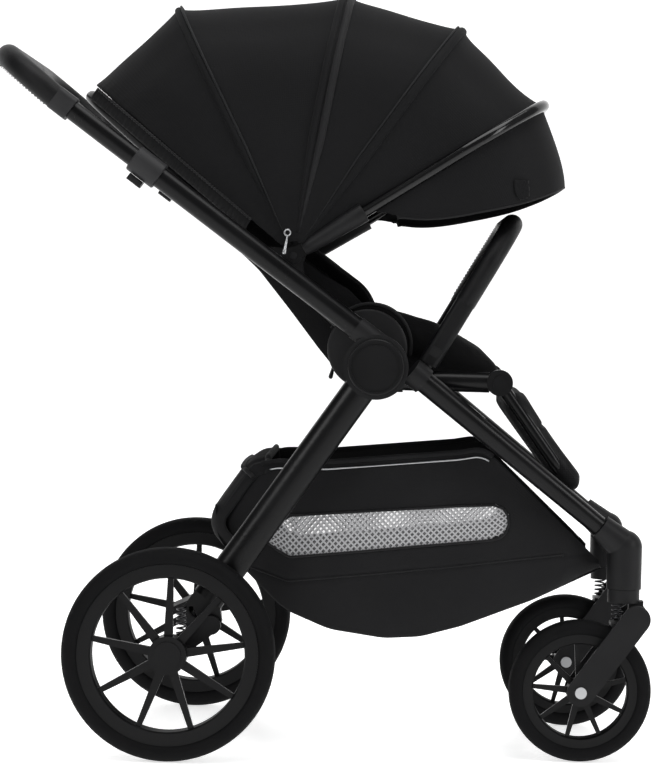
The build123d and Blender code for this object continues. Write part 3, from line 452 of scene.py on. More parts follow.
sweepLine = np.array([(-studio["floorHalf"], 0.0), (studio["backDistance"], 0.0)])
curve = np.linspace(0, math.pi / 2, 12)
bend = np.stack([studio["backDistance"] + studio["sweepRadius"] * np.sin(curve),
                 studio["sweepRadius"] * (1 - np.cos(curve))], 1)
wallFoot = studio["backDistance"] + studio["sweepRadius"]
profile = np.vstack([sweepLine, bend[1:], [[wallFoot, studio["wallTop"]]]])
across = np.linspace(-studio["floorHalf"], studio["floorHalf"], 3)
floorPoints = np.stack(np.broadcast_arrays(across[:, None], profile[None, :, 0], profile[None, :, 1]), -1)
floor = gridPiece("studioFloor", floorPoints)
floorPaint, _, floorShader = newMaterial("paleStudioPaper", studio["floorColour"], 0.35)
floorShader.inputs["Specular IOR Level"].default_value = 0.25
floorShader.inputs["Emission Color"].default_value = (1, 1, 1, 1)
floorShader.inputs["Emission Strength"].default_value = studio["floorGlow"]  # a lit light table
floor.data.materials.append(floorPaint)

world = bpy.data.worlds.new("studioAir")
world.use_nodes = True
world.node_tree.nodes["Background"].inputs["Color"].default_value = (1, 1, 1, 1)
world.node_tree.nodes["Background"].inputs["Strength"].default_value = studio["worldLight"]
bpy.context.scene.world = world
bpy.context.scene.view_settings.view_transform = "Standard"

lamps = {"overhead": {"place": (0.2, -0.6, 3.2), "size": (2.6, 2.0), "power": 60.0},
         "frontLeft": {"place": (-2.2, -3.2, 2.2), "size": (1.2, 1.8), "power": 38.0},
         "rightSide": {"place": (2.8, -1.6, 1.6), "size": (0.9, 1.8), "power": 30.0}}
target = Vector((0, 0, 0.5))
for lampName, lamp in lamps.items():
    data = bpy.data.lights.new(lampName, "AREA")
    data.shape = "RECTANGLE"
    data.size, data.size_y = lamp["size"]
    data.energy = lamp["power"]
    softbox = bpy.data.objects.new(lampName, data)
    bpy.context.scene.collection.objects.link(softbox)
    softbox.location = lamp["place"]
    softbox.rotation_euler = (target - softbox.location).to_track_quat("-Z", "Y").to_euler()
print("stage: camera and light")


canopy = {"drop": 0.090, "inset": 0.085, "corner": 0.110, "root": 0.020, "count": 241, "along": 33,
          "halfWidth": 0.2157, "frontHalfWidth": 0.2078, "rearAngle": 140.8, "rearReach": 0.3718,
          "sag": (0.0020, 0.0045, 0.0030, 0.0062), "sideShare": 0.45, "wall": 0.0011,
          "bodies": ("backrest", "canopy_rear", "canopy_middle", "canopy_forward", "canopy_front"),
          "names": ("canopySkinRear", "canopySkinCrown", "canopySkinForward", "canopySkinFront"),
          "nodes": ("canopy_panel_rear", "canopy_panel_crown", "canopy_panel_forward", "canopy_panel_front")}
bowNodes = ("canopy_bow_rear", "canopy_bow_middle", "canopy_bow_forward", "canopy_front_bow")
pivot = np.array(joints["canopy_fold"]["pos_m"])


def bowFacts(name):
    # the point farthest from the pivot gives a bow's angle in degrees and its outer reach
    points = nodePoints(name)
    x, z = points[:, 0] - pivot[0], points[:, 2] - pivot[2]
    far = np.hypot(x, z) > np.hypot(x, z).max() - 0.0006
    return math.degrees(math.atan2(z[far].mean(), x[far].mean())), float(np.hypot(x, z).max())


def fromPivot(angle, reach, y):
    # angle up from forward and distance out from the pivot, both may be arrays
    turn = np.radians(angle)
    x, z = pivot[0] + reach * np.cos(turn), pivot[2] + reach * np.sin(turn)
    return np.stack(np.broadcast_arrays(x, y, z), -1)


def archLine(angle, reach, halfWidth, root):
    # up one side of a bow, over the crown and down the other, read off at even steps
    corners = [(root, -halfWidth), (reach - canopy["drop"], -halfWidth), (reach, canopy["inset"] - halfWidth)]
    corners += [(r, -y) for r, y in corners[::-1]]
    line = roundedPath(corners, canopy["corner"], canopy["count"])
    return fromPivot(angle, line[:, 0], line[:, 1]), line


def stretchedSkin(first, second, sag, sideShare):
    # straight threads from one edge to the other, pulled inwards between them: the dip is
    # 1 - |2v - 1|^5, full at the crown and less at the sides, with puckers beside each seam
    v = np.linspace(0, 1, canopy["along"])[None, :, None]
    skin = first[:, None] * (1 - v) + second[:, None] * v
    outward = unit(np.cross(np.gradient(skin, axis=0), np.gradient(skin, axis=1)))
    middle = np.array([pivot[0], 0, pivot[2]])
    outward *= np.sign((outward * (skin - middle)).sum(-1, keepdims=True))
    u = np.linspace(0, 1, len(first))
    crown = sideShare + (1 - sideShare) * np.clip(np.sin(math.pi * u) * 1.6 - 0.6, 0, 1)
    crown = (crown * np.clip(np.sin(math.pi * u) * 6, 0, 1))[:, None, None]
    dip = sag * crown * (1 - np.abs(2 * v - 1) ** 5)
    span = np.linalg.norm(second - first, axis=1)[:, None, None]
    length = runLength(first)[:, None, None]
    pucker = 0.0005 * np.sin(length * 2 * math.pi / 0.017 + 2 * np.sin(length * 31)) * (
        np.exp(-v * span / 0.008) + np.exp(-(1 - v) * span / 0.008)) * (v > 0) * (v < 1)
    waves = np.sin(length * 43 + 5 * v) + np.sin(length * 19 - 7 * v + 1)
    drift = 0.0011 * crown * np.sin(math.pi * v) * waves
    return skin + outward * (pucker + drift - dip)


def blendByAngle(piece, bodyA, bodyB, angleA, angleB):
    # the piece's transform is baked into its mesh; the points at the two angles are worked out but not kept
    points = meshPoints(piece.data)
    fromPivot(angleA, 0.3, 0.0).tolist()
    fromPivot(angleB, 0.3, 0.0).tolist()
    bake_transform(piece)


bows = [bowFacts(name) for name in bowNodes]
edges = [(canopy["rearAngle"], canopy["rearReach"], canopy["halfWidth"])]
edges += [(angle, reach + 0.0012, canopy["halfWidth"]) for angle, reach in bows[:3]]
edges += [(bows[3][0], bows[3][1] - 0.0085, canopy["frontHalfWidth"])]
lines = [archLine(*edge, canopy["root"])[0] for edge in edges]
for index, name in enumerate(canopy["names"]):
    points = stretchedSkin(lines[index], lines[index + 1], canopy["sag"][index], canopy["sideShare"])
    skin = gridPiece(name, points)
    faceOutwards(skin)
    finishPiece(skin, finishes["canopy_fabric"], thickness=-canopy["wall"])
    applyModifiers(skin)
    blendByAngle(skin, *canopy["bodies"][index:index + 2], edges[index][0], edges[index + 1][0])
    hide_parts(canopy["nodes"][index])
    wide = float(np.linalg.norm(lines[index] - lines[index + 1], axis=1).max())
print("stage: canopy skins")

# sleeves and piping over each bow: body, bow, offset in degrees, extra reach, radius, flattening, cloth
ridges = {"sleeveRear": ("canopy_rear", 0, 0.0, -0.0012, 0.0058, 1.0, finishes["canopy_fabric"]),
          "pipingRear": ("canopy_rear", 0, -0.85, 0.0028, 0.0017, 1.0, pipingCloth),
          "sleeveCrownBack": ("canopy_middle", 1, 0.95, -0.0002, 0.0052, 1.0, finishes["canopy_fabric"]),
          "sleeveCrownFront": ("canopy_middle", 1, -0.95, -0.0002, 0.0052, 1.0, pipingCloth),
          "sleeveForward": ("canopy_forward", 2, 0.0, -0.0006, 0.0064, 1.25, finishes["canopy_fabric"]),
          "pipingForward": ("canopy_forward", 2, 1.15, 0.0006, 0.0015, 1.0, pipingCloth)}
ridgeRoot, ridgeFull = 0.012, 0.16  # metres from the pivot: a ridge starts past the hub and is full here
for name, (body, bow, shift, lift, radius, flatten, cloth) in ridges.items():
    angle, reach = bows[bow]
    # the two threads of a ridge keep their distance along the arch, so the shift is a length
    line, flat = archLine(angle, reach + lift, canopy["halfWidth"] + lift - 0.0012,
                          canopy["root"] + ridgeRoot)
    across = fromPivot(angle + 90, 1.0, 0.0) - pivot
    line = line + across * math.radians(shift) * reach * np.clip(flat[:, :1] / ridgeFull, 0.3, 1)
    taper = radius * np.clip(flat[:, 0] / ridgeFull, 0.28, 1)  # thin towards the hub, where the bows meet
    ridge = tubeAlong(name, line, taper, across, 14, squashAcross=1 / flatten)
    finishPiece(ridge, cloth, body)

visor = {"angles": (14.3, 9.5, 0.030), "frontAngle": 16.0, "frontReach": 0.397, "root": 0.118,
         "lowRoot": 0.148, "tab": (0.262, 0.790), "tabSize": (0.020, 0.026), "blend": 18.5, "wall": 0.0022}
visorHinge = bows[3][0]
upper = archLine(visorHinge, bows[3][1] - 0.011, canopy["frontHalfWidth"] - 0.0015, visor["root"])[0]
lower, lowerFlat = archLine(0.0, visor["frontReach"], canopy["frontHalfWidth"] - 0.0005, visor["lowRoot"])
low, rise, fade = visor["angles"]
reachNow = lowerFlat[:, 0]
share = np.clip((reachNow - 0.30) / (visor["frontReach"] - 0.30), 0, 1)
lowAngle = low + rise * np.exp(-(reachNow - visor["lowRoot"]) / fade)
lowAngle = lowAngle + (visor["frontAngle"] - low) * share ** 2
lower = fromPivot(lowAngle, reachNow, lowerFlat[:, 1])
v = np.linspace(0, 1, 25)[None, :, None]
points = upper[:, None] * (1 - v) + lower[:, None] * v
outward = unit(np.cross(np.gradient(points, axis=0), np.gradient(points, axis=1)))
inside = pivot * (1, 0, 1) + (0.1, 0, 0.1)
outward *= np.sign((outward * (points - inside)).sum(-1, keepdims=True))
points = points + outward * (0.0015 * np.sin(math.pi * v) - 0.006 * v ** 6)
visorSheet = points
visorSkin = gridPiece("visorSkin", visorSheet)
faceOutwards(visorSkin)
finishPiece(visorSkin, finishes["canopy_fabric"], thickness=-visor["wall"])
applyModifiers(visorSkin)
blendByAngle(visorSkin, "canopy_front", "visor", visorHinge, visorHinge - visor["blend"])
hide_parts("visor")
hemLine = points[:, -1] + outward[:, -1] * -0.001
hem = tubeAlong("visorHem", hemLine, 0.0017, fromPivot(105, 1, 0.0) - pivot, 10)
finishPiece(hem, pipingCloth)
blendByAngle(hem, "canopy_front", "visor", visorHinge, visorHinge - visor["blend"])

for side, sign in sides.items():
    # hanging loop of folded cloth, sewn to the visor near its lower edge
    across = np.linspace(-1, 1, 13)
    tall = np.linspace(0, 1, 15)
    rounded = np.sqrt(np.clip(1 - ((tall - 0.6) / 0.42) ** 2, 0.02, 1))
    tabWidth = visor["tabSize"][0] * np.where(tall > 0.6, rounded, 1)
    x = visor["tab"][0] + across[None, :] * tabWidth[:, None] / 2 + 0.003 * tall[:, None]
    z = visor["tab"][1] + 0.010 - tall[:, None] * visor["tabSize"][1] + 0 * x
    crownRow = canopy["count"] // 2
    half = visorSheet[:crownRow + 1] if sign < 0 else visorSheet[crownRow:]
    nearest = nearestIndex(np.stack([x, z], -1).reshape(-1, 2), half[..., [0, 2]].reshape(-1, 2))
    y = half[..., 1].reshape(-1)[nearest].reshape(x.shape) + sign * 0.0016
    tab = gridPiece("visorTab" + side.capitalize(), np.stack([x, y, z], -1))
    finishPiece(tab, finishes["canopy_fabric"], thickness=0.0016)
    applyModifiers(tab)
    blendByAngle(tab, "canopy_front", "visor", visorHinge, visorHinge - visor["blend"])

    # moulded adaptor where the front tube meets the canopy hub, stepped where the tube enters
    reachRun = np.array([0.016, 0.018, 0.03, 0.08, 0.112, 0.1135, 0.1135, 0.112])
    girth = np.array([0.006, 0.0086, 0.0098, 0.0112, 0.0122, 0.0119, 0.0086, 0.0084])
    path = fromPivot(visorHinge, reachRun, sign * (canopy["frontHalfWidth"] + 0.0002))
    path[-2:] += (fromPivot(visorHinge, 0.0004, 0.0) - pivot) * [[1], [-1]]
    adaptor = tubeAlong("bowAdaptor" + side.capitalize(), path, girth, (0, 1, 0), 28, squashAcross=1.12)
    finishPiece(adaptor, finishes["frame_plastic"], "canopy_front")
print("stage: visor and bow adaptors")

curtain = {"from": 0.075, "to": 0.352, "depth": 0.020, "ruffle": 0.0016, "pitch": 0.0085,
           "teeth": 0.0045}
for side, sign in sides.items():
    # gathered strip under the rear edge: a sine ruffle that grows away from the zip
    reachRun = np.linspace(curtain["from"], curtain["to"], 260)[:, None]
    fall = np.linspace(0, 1, 9)[None, :]
    phase = 2 * math.pi * reachRun / curtain["pitch"] + 1.3 * np.sin(reachRun * 60)
    wave = curtain["ruffle"] * fall * np.sin(phase)
    strip = fromPivot(canopy["rearAngle"] + np.degrees(curtain["depth"] * fall / reachRun * 0.9), reachRun,
                      sign * (canopy["halfWidth"] - 0.001 - 0.016 * fall ** 1.5 + wave))
    ruffle = gridPiece("curtain" + side.capitalize(), strip)
    finishPiece(ruffle, finishes["canopy_fabric"], "backrest", thickness=0.001)
    teethLine = fromPivot(canopy["rearAngle"] + 0.3, reachRun[::-1],
                          sign * (canopy["halfWidth"] + 0.0006))[:, 0]
    bumps = 0.0016 + 0.0006 * np.sin(2 * math.pi * reachRun[::-1, 0] / curtain["teeth"])
    teeth = tubeAlong("curtainZip" + side.capitalize(), teethLine, bumps, (0, 1, 0), 8)
    finishPiece(teeth, finishes["frame_plastic"], "backrest")
print("stage: curtain")


def padShell(name, axis, alongDir, upDir, top, bottom, halfWidth, lengths, square=0.32, around=72):
    # stations along an axis; each cross-section is a closed loop whose sine and cosine are raised to
    # a small power, so it is flat between tight round edges, and the stations shrink at both ends
    # the same way. top and bottom give the height over the axis from (station share, y)
    share = np.linspace(0, 1, 64)[:, None]
    close = np.clip(1 - np.abs(2 * share - 1) ** 9, 0.004, 1) ** (1 / 6)
    turn = np.linspace(0, 2 * math.pi, around, endpoint=False)[None, :]
    sine, cosine = np.sin(turn), np.cos(turn)
    side = np.sign(cosine) * np.abs(cosine) ** square
    rise = np.sign(sine) * np.abs(sine) ** square
    y = side * halfWidth(share) * (0.86 + 0.14 * close)
    high, low = top(share, y), bottom(share, y)
    height = (high + low) / 2 + rise * (high - low) / 2 * close
    along = lengths[0] + share * (lengths[1] - lengths[0])
    points = (np.asarray(axis)[None, None] + along[..., None] * np.asarray(alongDir)
              + height[..., None] * np.asarray(upDir) + y[..., None] * np.array([0, 1.0, 0]))
    piece = gridPiece(name, points, closeV=True)
    capEnds(piece, 64, around)
    return piece


stuffing = {"voxel": 0.005, "pressure": 4.0, "frames": 20}


def plump(piece, cap):
    # the pad swells like stuffed cloth, no point farther than the cap, then is smoothed once
    remesh = piece.modifiers.new("even", "REMESH")
    remesh.mode = "VOXEL"
    remesh.voxel_size = stuffing["voxel"]
    applyModifiers(piece)
    start = meshPoints(piece.data)
    cloth = piece.modifiers.new("cloth", "CLOTH")
    cloth.settings.use_pressure = True
    cloth.settings.uniform_pressure_force = stuffing["pressure"]
    cloth.settings.effector_weights.gravity = 0
    cloth.settings.quality = 4
    for number in range(1, stuffing["frames"] + 1):
        bpy.context.scene.frame_set(number)
    applyModifiers(piece)
    move = meshPoints(piece.data) - start
    length = np.linalg.norm(move, axis=1, keepdims=True)
    move *= np.minimum(1, cap / np.maximum(length, 1e-9))
    piece.data.vertices.foreach_set("co", (start + move).reshape(-1))
    piece.data.update()
    soft = piece.modifiers.new("soft", "SUBSURF")
    soft.levels = soft.render_levels = 1
    return applyModifiers(piece)


def moveVertices(piece, change):
    # change(points, normals) gives each vertex its new place
    mesh = piece.data
    normals = np.empty(len(mesh.vertices) * 3)
    mesh.vertices.foreach_get("normal", normals)
    moved = change(meshPoints(mesh), normals.reshape(-1, 3))
    mesh.vertices.foreach_set("co", moved.reshape(-1))
    mesh.polygons.foreach_set("use_smooth", [True] * len(mesh.polygons))
    mesh.update()
    return piece


def groove(distance, depth, width):
    # a sewn channel: a narrow bell of the given depth round a seam line
    return depth * np.exp(-(distance / width) ** 2)


seatPivot = np.array(joints["backrest_recline"]["pos_m"])
kneePivot = np.array(joints["calf_adjust"]["pos_m"])
backLean, calfLean = math.radians(139.1), math.radians(-54)  # up from forward
backDir = unit(np.array([math.cos(backLean), 0, math.sin(backLean)]))
backFront = np.array([backDir[2], 0, -backDir[0]])  # towards the child
calfDir = np.array([math.cos(calfLean), 0, math.sin(calfLean)])
calfFront = np.array([-calfDir[2], 0, calfDir[0]])


def onBack(along, front, y=0.0):
    # a place by its distance up the backrest from the recline hinge and in front of it
    return seatPivot + backDir * along + backFront * front + np.array([0, y, 0])


seat = {"halfWidth": 0.158, "lengths": (0.026, 0.246), "low": 0.516,
        "side": ((0.02, 0.592), (0.05, 0.617), (0.075, 0.6235), (0.105, 0.619), (0.15, 0.605), (0.18, 0.589),
                 (0.215, 0.570), (0.25, 0.549)),
        "middle": ((0.02, 0.566), (0.12, 0.560), (0.20, 0.556), (0.25, 0.545)),
        "bolsterSeam": 0.094, "crossSeams": (0.088, 0.160), "plump": 0.008}
back = {"halfWidth": 0.152, "lengths": (0.060, 0.508), "front": 0.022, "rear": -0.014, "wing": 0.020,
        "wingSeam": 0.098, "channels": (0.15, 0.23, 0.31, 0.39), "plump": 0.008}
calf = {"halfWidth": 0.1765, "lengths": (0.018, 0.187), "channel": 0.085, "sideSeam": 0.122, "plump": 0.005}

sideLine, middleLine = np.array(seat["side"]), np.array(seat["middle"])


def seatTop(share, y):
    # bolsters rise smoothly from the sitting surface towards the sides
    x = seat["lengths"][0] + share * (seat["lengths"][1] - seat["lengths"][0])
    lift = smoothStep((np.abs(y) - 0.088) / 0.05)
    return (1 - lift) * np.interp(x, *middleLine.T) + lift * np.interp(x, *sideLine.T) - seat["low"]


seatPad = padShell("seatPad", (0, 0, seat["low"]), (1, 0, 0), (0, 0, 1), seatTop,
                   lambda s, y: 0.004 + 0 * y, lambda s: seat["halfWidth"] - 0.012 * s ** 4, seat["lengths"])
plump(seatPad, seat["plump"])


def sewSeat(points, normals):
    # a seam along each bolster, two across the sitting surface, and slow fullness between them
    above = np.clip(normals[:, 2] * 1.5, 0, 1)
    across = np.abs(points[:, 1]) - seat["bolsterSeam"]
    dip = groove(across, 0.0045, 0.0035)
    for x in seat["crossSeams"]:
        dip = np.maximum(dip, groove(points[:, 0] - x, 0.0035, 0.0032) * (across < 0))
    ripple = 0.0007 * np.sin(points[:, 0] * 61 + points[:, 1] * 37) * np.sin(points[:, 1] * 83 + 1)
    return points - normals * (dip * above + ripple)[:, None]


moveVertices(seatPad, sewSeat)
finishPiece(seatPad, finishes["seat_fabric"], "seat")
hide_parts("seat_cushion")


def backTopSurface(share, y):
    # side wings stand forward, more towards the seat, and a head zone at the top is thicker
    lift = smoothStep((np.abs(y) - 0.098) / 0.045)
    low = np.clip(1 - share / 0.35, 0, 1) ** 2
    return back["front"] + lift * (0.004 + back["wing"] * low) + 0.004 * np.clip((share - 0.7) / 0.2, 0, 1)


backPad = padShell("backPad", seatPivot, backDir, backFront, backTopSurface,
                   lambda s, y: back["rear"] + 0 * y, lambda s: back["halfWidth"] - 0.012 * s ** 5,
                   back["lengths"])
plump(backPad, back["plump"])


def sewBack(points, normals):
    # channels across the back, a seam inside each wing, and the head zone's seam
    along = (points - seatPivot) @ backDir
    front = np.clip((normals @ backFront) * 1.5, 0, 1)
    across = np.abs(points[:, 1]) - back["wingSeam"]
    dip = groove(across, 0.0045, 0.0035)
    for line in back["channels"]:
        dip = np.maximum(dip, groove(along - line, 0.0038, 0.0034) * (across < -0.001))
    ripple = 0.0008 * np.sin(along * 57 + points[:, 1] * 41) * np.sin(points[:, 1] * 71 + 2)
    return points - normals * (dip * front + ripple)[:, None]


moveVertices(backPad, sewBack)
finishPiece(backPad, finishes["seat_fabric"], "backrest")
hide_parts("backrest_pad")


def calfTop(share, y):
    # thick under the knee and at the toe, a little hollow between
    return 0.0175 - 0.004 * np.sin(math.pi * share)


calfPad = padShell("calfPad", kneePivot, calfDir, calfFront, calfTop,
                   lambda s, y: -0.0125 + 0.003 * s + 0 * y, lambda s: calf["halfWidth"] - 0.004 * s ** 6,
                   calf["lengths"])
plump(calfPad, calf["plump"])


def sewCalf(points, normals):
    # one channel across the pad and one down each side
    along = (points - kneePivot) @ calfDir
    front = np.clip((normals @ calfFront) * 1.5, 0, 1)
    across = np.abs(points[:, 1]) - calf["sideSeam"]
    dip = np.maximum(groove(along - calf["channel"], 0.003, 0.003), groove(across, 0.003, 0.003))
    return points - normals * (dip * front)[:, None]


moveVertices(calfPad, sewCalf)
finishPiece(calfPad, finishes["seat_fabric"], "calf_rest")
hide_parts("calf_pad")
print("stage: pads")


liner = {"halfWidth": 0.150, "wing": 0.030, "wall": 0.003}
# profile from the lower back round into the seat: how far along and in front of each axis
backRun = np.array([onBack(*spot) for spot in ((0.150, 0.021), (0.105, 0.024), (0.065, 0.029))])
seatRun = np.array([(0.052, 0, 0.5735), (0.078, 0, 0.5655), (0.115, 0, 0.5620)])
profile = roundedPath(list(np.vstack([backRun, seatRun])), 0.035, 44)
across = np.linspace(-1, 1, 61)
rise = smoothStep((np.abs(across) - 0.62) / 0.3)
tangent = unit(np.gradient(profile, axis=0))
inward = np.cross(tangent, np.array([0, -1.0, 0]))
inward *= np.sign(inward[:, 2:3])
sheet = (profile[:, None] + inward[:, None] * (liner["wing"] * rise)[None, :, None]
         + across[None, :, None] * np.array([0, liner["halfWidth"], 0]))
sheet[..., 2] += 0.0011 * np.sin(across[None, :] * 21) * np.sin(np.linspace(0, 9, 44))[:, None]
seatLiner = gridPiece("seatLiner", sheet)
finishPiece(seatLiner, finishes["seat_fabric"], thickness=liner["wall"])
applyModifiers(seatLiner)
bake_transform(seatLiner)

flap = {"halfWidth": 0.150, "points": ((0.475, -0.0160), (0.30, -0.0185), (0.185, -0.0205), (0.115, -0.033),
                                       (0.050, -0.0455), (0.021, -0.0500)), "wall": 0.0018}
run = roundedPath([onBack(*spot) for spot in flap["points"]], 0.12, 60)
across = np.linspace(-1, 1, 49)
curl = 0.012 * np.clip((np.abs(across) - 0.8) / 0.2, 0, 1) ** 2
sheet = (run[:, None] + backFront * curl[None, :, None]
         + across[None, :, None] * np.array([0, flap["halfWidth"], 0]))
slack = 0.0016 * np.sin(across[None, :] * 9 + 1) * np.sin(np.linspace(0, 12, 60))[:, None]
sheet = sheet - backFront * slack[..., None]
backFlap = gridPiece("backFlap", sheet)
finishPiece(backFlap, finishes["seat_fabric"], "backrest", thickness=flap["wall"])
border = np.concatenate([sheet[:, 0], sheet[-1, 1:], sheet[::-1, -1][1:]])
borderLine = roundedPath([border[0], *border[8:-8:10], border[-1]], 0.02, 160)
flapPiping = tubeAlong("flapPiping", borderLine, 0.0019, (0.31, 0.22, 0.92), 10)
finishPiece(flapPiping, pipingCloth, "backrest")

wing = {"radius": 0.060, "inner": 0.042, "from": -8, "to": 152, "y": 0.1745}
for side, sign in sides.items():
    # padded ear over each seat hub: two fans of cloth that step inwards, each with a piped edge
    turn = np.radians(np.linspace(wing["from"], wing["to"], 60))
    for step, (radius, lift) in enumerate(((wing["radius"], 0.0), (wing["inner"] + 0.007, 0.006))):
        ring = np.linspace(0.35, 1, 14)
        swell = lift + 0.006 * np.sqrt(np.clip(1 - ring ** 4, 0, 1))
        wide = radius * (1 + 0.06 * np.sin(turn * 1.5))
        x = seatPivot[0] + wide[:, None] * ring * np.cos(turn)[:, None]
        z = seatPivot[2] + wide[:, None] * ring * np.sin(turn)[:, None]
        points = np.stack([x, sign * (wing["y"] - swell[None, :] * 0.6 + 0 * x), z], -1)
        ear = gridPiece(f"hubEar{side.capitalize()}{step + 1}", points)
        finishPiece(ear, finishes["seat_fabric"], "seat", thickness=0.002)
        rim = np.stack([x[:, -1], np.full(60, sign * (wing["y"] - swell[-1] * 0.6)), z[:, -1]], -1)
        edge = tubeAlong(f"hubEarPiping{side.capitalize()}{step + 1}", rim, 0.0021, (0, 1, 0), 10)
        finishPiece(edge, pipingCloth, "seat")
print("stage: liner, flap and ears")


harness = {"spacing": 0.052, "padWidth": 0.040, "padThick": 0.0085, "strapWidth": 0.025, "thick": 0.0016}
buckleLow, buckleHigh = (np.array(c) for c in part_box("harness_buckle"))
buckleMiddle = (buckleLow + buckleHigh) / 2


def strap(name, path, width, thickness, normal, rows=90):
    # a flat band with rounded edges: a thin superellipse carried along the path
    path = roundedPath([np.asarray(p, float) for p in path], 0.02, rows)
    ahead = unit(np.gradient(path, axis=0))
    sideways = unit(np.cross(ahead, normal))
    upward = np.cross(sideways, ahead)
    turn = np.linspace(0, 2 * math.pi, 20, endpoint=False)
    a = np.sign(np.cos(turn)) * np.abs(np.cos(turn)) ** 0.5 * width / 2
    b = np.sign(np.sin(turn)) * np.abs(np.sin(turn)) ** 0.5 * thickness / 2
    points = path[:, None] + sideways[:, None] * a[None, :, None] + upward[:, None] * b[None, :, None]
    piece = gridPiece(name, points, closeV=True)
    capEnds(piece, rows, 20)
    return piece


for side, sign in sides.items():
    name = side.capitalize()
    y = sign * harness["spacing"]
    padLine = [onBack(0.392, 0.029, y), onBack(0.30, 0.035, y * 0.98), onBack(0.19, 0.040, y * 0.92)]
    shoulder = strap("shoulderPad" + name, padLine, harness["padWidth"], harness["padThick"], backFront)
    finishPiece(shoulder, finishes["seat_fabric"], "backrest")
    upperWeb = strap("shoulderStrap" + name,
                     [onBack(0.43, 0.020, y), onBack(0.405, 0.0295, y), onBack(0.30, 0.0345, y)],
                     harness["strapWidth"], harness["thick"], backFront)
    finishPiece(upperWeb, finishes["webbing"], "backrest")
    chestLine = [onBack(0.21, 0.0395, y * 0.93), onBack(0.12, 0.046, y * 0.8), onBack(0.062, 0.052, y * 0.62),
                 buckleMiddle + np.array([-0.012, sign * 0.016, 0.006])]
    chestWeb = strap("chestStrap" + name, chestLine, harness["strapWidth"], harness["thick"],
                     unit(backFront + np.array([0, 0, 0.6])))
    finishPiece(chestWeb, finishes["webbing"])
    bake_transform(chestWeb)
    waistLine = [(0.048, sign * 0.128, 0.596), (0.062, sign * 0.085, 0.578), (0.085, sign * 0.05, 0.576),
                 buckleMiddle + np.array([-0.004, sign * 0.018, 0.0])]
    waistWeb = strap("waistStrap" + name, waistLine, harness["strapWidth"], harness["thick"], (0, 0, 1))
    finishPiece(waistWeb, finishes["webbing"], "seat")
crotchLine = [(buckleHigh[0] + 0.035, 0, 0.556), (buckleHigh[0] + 0.018, 0, buckleLow[2] + 0.002),
              buckleMiddle]
crotchWeb = strap("crotchStrap", crotchLine, harness["strapWidth"], harness["thick"], (0, 0, 1), 40)
finishPiece(crotchWeb, finishes["webbing"], "seat")
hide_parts("harness_straps")
print("stage: harness")


basket = {"halfWidth": 0.180, "wall": 0.0016, "belly": 0.016, "rimCorner": 0.05, "floorCorner": 0.10,
          "rim": ((-0.098, 0.398), (-0.062, 0.4045), (0.005, 0.405), (0.187, 0.423), (0.2175, 0.4285),
                  (0.236, 0.418), (0.386, 0.2760)),
          "floor": ((-0.1545, 0.3135), (-0.133, 0.277), (-0.051, 0.197), (0.013, 0.171), (0.090, 0.1605),
                    (0.140, 0.164), (0.196, 0.180), (0.294, 0.219), (0.388, 0.2655)),
          "meshTop": ((-0.075, 0.322), (-0.044, 0.330), (0.189, 0.349), (0.262, 0.353)),
          "meshLow": ((-0.078, 0.290), (-0.043, 0.272), (0.239, 0.304), (0.262, 0.313)),
          "seamLow": ((-0.120, 0.262), (-0.045, 0.238), (0.160, 0.262), (0.330, 0.285)),
          "back": ((-0.133, 0.277), (-0.150, 0.297), (-0.156, 0.3135), (-0.153, 0.331), (-0.134, 0.358),
                   (-0.118, 0.382), (-0.106, 0.398), (-0.094, 0.4055), (-0.078, 0.4065))}
meshTop, meshLow, seamLow = (np.array(basket[key]).T for key in ("meshTop", "meshLow", "seamLow"))

# the side is a sheet between the rim curve and the floor curve; u runs from back to front, v down
u = np.linspace(0, 1, 181)
rimCurve = roundedPath(basket["rim"], basket["rimCorner"], len(u))
floorCurve = roundedPath(basket["floor"], basket["floorCorner"], len(u))


def sideSheet(sign):
    # straight threads between rim and floor, bulging out by a sine of v and drawn in at the floor
    v = np.linspace(0, 1, 73)
    flat = rimCurve[:, None] * (1 - v)[None, :, None] + floorCurve[:, None] * v[None, :, None]
    fade = np.clip(np.minimum(u / 0.12, (1 - u) / 0.10), 0, 1)[:, None]
    out = basket["halfWidth"] - 0.006 + 0.010 * np.sin(math.pi * v)[None] * fade - 0.020 * v[None] ** 5
    out = out - 0.014 * (1 - fade)
    out = out + 0.0012 * np.sin(flat[..., 0] * 46 + 9 * v) * np.sin(math.pi * v)
    seam = np.interp(flat[..., 0], *seamLow)
    out = out - 0.0022 * np.exp(-((flat[..., 1] - seam) / 0.0035) ** 2)  # the sewn seam draws in
    return np.stack([flat[..., 0], sign * out, flat[..., 1]], -1)


def inWindow(points):
    # true between the upper and lower edges of the net, with a rounded front end
    x, z = points[..., 0], points[..., 2]
    top, low = np.interp(x, *meshTop), np.interp(x, *meshLow)
    end = 0.2575 - 0.012 * np.abs((z - 0.331) / 0.02) ** 3
    start = -0.078 + 0.035 * np.clip((0.292 - z) / 0.02, 0, 1)
    return (z < top) & (z > low) & (x > start) & (x < end)


